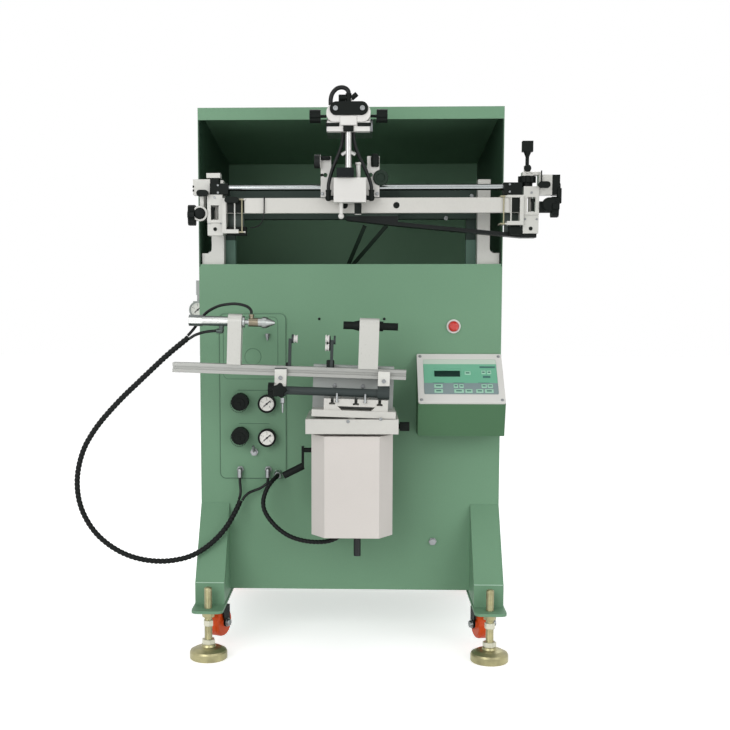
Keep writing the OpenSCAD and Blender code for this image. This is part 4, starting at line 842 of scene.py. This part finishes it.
def table_screws():
    """Screws on the plate, the base plate, the support bar, the motor cover and the rail's clasps."""
    bm = bmesh.new()
    for x in (-31, 27):
        hex_bolt(bm, tilted(x, -155, 597), -Y, 4.2, 2.5)
    for x, z in ((-1, 530), (65, 535)):
        socket_screw(bm, at(x, -215, z), -Y, 3.4, 2.5)
    for x in (-25, 32):
        turned(bm, tilted(x, BAR_FRONT - 2.2, 586), -Z, [(0, 0), (2.2, 0), (2.2, 14), (3.6, 18), (0, 18)], 16)
    for x in (-70, 84):
        for z in (300, 485):
            pan_screw(bm, at(x, -165, z), -Y, 2.2)
    for x in (-141, 69):
        socket_screw(bm, tilted(x, -195, 612), -Y, 4.2, 4)
    piece("table_screws", bm, "steel", "table")


# Each caster's place and how many degrees it is turned
CASTERS = {"fl": (-298.5, -60, -24), "fr": (298.5, -60, 14), "rl": (-298.5, 430, 10), "rr": (298.5, 430, -18)}
TRAIL, AXLE_Z, CHEEK, HUB = 22, 53, 24, 19  # behind the swivel, over the floor, and to each side of the wheel


def caster_details():
    """The axle's nuts on the fork and a dark ring on each side of the wheel's hub."""
    for corner, (x, y, turn) in CASTERS.items():
        a = math.radians(turn)
        axle = ground(x - TRAIL * math.sin(a), y + TRAIL * math.cos(a), AXLE_Z)
        along = Vector((math.cos(a), math.sin(a), 0))
        nuts = bmesh.new()
        rings = bmesh.new()
        for s in (-1, 1):
            turned(nuts, axle + along * s * CHEEK / 1000, along * s,
                   [(0, 0), (9.5, 0), (9.5, 1), (8, 1), (8, 5), (6.8, 6.2), (4, 6.8), (0, 7)], 24)
            turned(rings, axle + along * s * (HUB + 0.1) / 1000, along * s,
                   [(4.6, 0), (9.8, 0), (9.4, 0.9), (5.2, 0.9), (4.6, 0)], 32)
        piece("axle_nuts_" + corner, nuts, "steel", "fork_" + corner)
        piece("hub_rings_" + corner, rings, "black", "wheel_" + corner)


OUTLINE_POINTS, LOBE_DEPTH = 48, 0.13


def star_knob(name, origin, axis, r, lobes, body):
    """A small moulded knob with rounded lobes and a stem behind it."""
    bm = bmesh.new()
    side = axis.orthogonal().normalized()
    other = axis.cross(side)
    levels = ((0, 0.42), (6, 0.42), (7, 0.9), (8.5, 1.0), (14, 1.0), (16, 0.86), (16.6, 0.5))
    rings = []
    for height, share in levels:
        ring = []
        for k in range(OUTLINE_POINTS):
            a = 2 * math.pi * k / OUTLINE_POINTS
            lobe = 1 + (LOBE_DEPTH * math.cos(lobes * a) if share > 0.6 else 0)
            out = (side * math.cos(a) + other * math.sin(a)) * r * share * lobe
            ring.append(bm.verts.new(origin + (axis * height + out) / 1000))
        rings.append(ring)
    for a, b in zip(rings, rings[1:]):
        for k in range(OUTLINE_POINTS):
            m = (k + 1) % OUTLINE_POINTS
            bm.faces.new((a[k], a[m], b[m], b[k]))
    bm.faces.new(rings[0])
    bm.faces.new(rings[-1])
    piece(name, bm, "black", body)


def object_rests():
    """Rollers, feet and a block on the rail's two posts, and the knob and pin of the left clasp."""
    bm = bmesh.new()
    along = tilted(1, 0, 537) - tilted(0, 0, 537)
    for x, z in ((-118, 691), (-53, 693), (-53, 676)):
        turned(bm, tilted(x + 0.2, -169, z), along,
               [(2, 0), (8, 0), (8.4, 1.4), (6, 4), (8.4, 6.6), (8, 8), (2, 8)], 28)
    piece("rest_rollers", bm, "white", "table")
    feet = bmesh.new()
    for x, w, h in ((-127, 11, 18), (-41, 16, 26)):
        slab(feet, tilted(x, -169, 624 + h / 2), (w, 13, h), None, 1.5)
    slab(feet, tilted(-46, -169, 684), (8, 6, 30), None, 1)
    piece("rest_clamps", feet, "black", "table")
    star_knob("clasp_knob", tilted(-141, -209, 588), -Y, 14, 5, "table")
    pin = bmesh.new()
    turned(pin, tilted(-135, -204, 572), -Z, [(0, 0), (4.2, 0), (4.2, 10), (1.8, 12), (1.6, 30), (0, 31)], 20)
    piece("clasp_pin", pin, "steel", "table")


def squeegee_details():
    """The stop under the block, the hoses' elbows, the ears' knobs and their screws."""
    bm = bmesh.new()
    slab(bm, at(17.5, -135.5, 960), (14.6, 13.6, 23), None, 1.2)
    for x, inward in ((-43, X), (45, -X)):
        elbow = at(x, -135.5, 982)
        turned(bm, elbow, Z, [(0, -7), (4, -6.2), (6.2, -2.5), (6.5, 0), (6.2, 2.5), (5.4, 4), (5.4, 13),
                              (6, 13), (6, 16), (4.2, 16.4), (0, 16.4)], 24)
        turned(bm, elbow, inward, [(0, 0), (4.6, 0), (4.6, 10.6), (0, 10.6)], 20)
    slab(bm, at(-50, -121, 1064), (22, 12, 8), None, 3)
    turned(bm, at(52, -119, 1046), Z, [(0, 0), (7, 0), (8.5, 3), (8.5, 20), (6, 26), (0, 27)], 24)
    turned(bm, at(-57, -111, 1030), -Y, [(0, 0), (3, 0), (3, 6), (0, 6)], 16)
    piece("squeegee_stop", bm, "black", "squeegee")
    bm = bmesh.new()
    turned(bm, at(64, -112, 1024), -Y,
           [(0, 0), (15, 0), (16, 2), (16, 8), (14, 10), (9, 10), (8, 8), (0, 8)], 32)
    piece("squeegee_knob", bm, "faded_black", "squeegee")
    bm = bmesh.new()
    for x in (-56, 57):
        hex_bolt(bm, at(x, -117, 992), -Y, 3, 3)
    piece("squeegee_screws", bm, "steel", "squeegee")


caster_details()
object_rests()
squeegee_details()
cabinet_screws()
stud_threads()
foot_nuts()
leg_joint_highlights()
panel_lines()
bezel_screws()
control_keys()
lamp_ring()
for row, z in enumerate(ROWS):
    gauge_face("gauge_%d" % row, GAUGE_X, -25.4, z)
gauge_face("filter_gauge", -354, 138.6, 750)
carriage_screws()
clamp_details()
guide_straps()
lever_details()
head_details()
support_screws()
table_screws()


# Stage, world and lamps

FLOOR_SIZE, FLOOR_DROP = 12, 0.0004
FLOOR_GLOW = 0.55
WORLD_LIGHT, WORLD_SEEN = 0.5, 1.0
# Name, place, size, watts and what it aims at, in metres
LAMPS = [
    ("key", (-1.7, -3.7, 1.8), 2.4, 69, (0, 0, 0.45)),
    ("fill", (2.4, -2.9, 1.1), 2.4, 36, (0, 0, 0.35)),
    ("top", (0.2, -0.9, 3.4), 1.6, 8, (0, 0, 0.6)),
    ("back", (0.4, 2.6, 2.8), 2.0, 34, (0, 0, 0.7)),
]


def where_seen(tree, otherwise, seen):
    """A value for what the camera and reflections see, and another for the rest of the light."""
    path = tree.nodes.new("ShaderNodeLightPath")
    either = tree.nodes.new("ShaderNodeMath")
    either.operation = "MAXIMUM"
    tree.links.new(path.outputs["Is Camera Ray"], either.inputs[0])
    tree.links.new(path.outputs["Is Glossy Ray"], either.inputs[1])
    strength = tree.nodes.new("ShaderNodeMapRange")
    strength.inputs["To Min"].default_value = otherwise
    strength.inputs["To Max"].default_value = seen
    tree.links.new(either.outputs["Value"], strength.inputs["Value"])
    return strength.outputs["Result"]


def make_floor():
    bm = bmesh.new()
    bmesh.ops.create_grid(bm, x_segments=1, y_segments=1, size=FLOOR_SIZE)
    mesh = bpy.data.meshes.new("floor")
    bm.to_mesh(mesh)
    bm.free()
    floor = bpy.data.objects.new("floor", mesh)
    floor.location = (0, 0, -FLOOR_DROP)
    bpy.context.scene.collection.objects.link(floor)
    mat = bpy.data.materials.new("floor_paper")
    mat.use_nodes = True
    tree = mat.node_tree
    shader = tree.nodes["Principled BSDF"]
    shader.inputs["Base Color"].default_value = (0.9, 0.9, 0.9, 1)
    shader.inputs["Roughness"].default_value = 0.9
    shader.inputs["Emission Color"].default_value = (1, 1, 1, 1)
    tree.links.new(where_seen(tree, 0, FLOOR_GLOW), shader.inputs["Emission Strength"])
    mesh.materials.append(mat)


def make_world():
    world = bpy.data.worlds.new("studio")
    bpy.context.scene.world = world
    world.use_nodes = True
    tree = world.node_tree
    background = tree.nodes["Background"]
    background.inputs["Color"].default_value = (1, 1, 1, 1)
    tree.links.new(where_seen(tree, WORLD_LIGHT, WORLD_SEEN), background.inputs["Strength"])


def make_lamps():
    for name, place, size, power, aim in LAMPS:
        data = bpy.data.lights.new(name, "AREA")
        data.size = size
        data.energy = power
        lamp = bpy.data.objects.new(name, data)
        lamp.location = place
        lamp.rotation_euler = (Vector(aim) - Vector(place)).to_track_quat("-Z", "Y").to_euler()
        bpy.context.scene.collection.objects.link(lamp)


make_floor()
make_world()
make_lamps()
bpy.context.scene.view_settings.view_transform = "Standard"
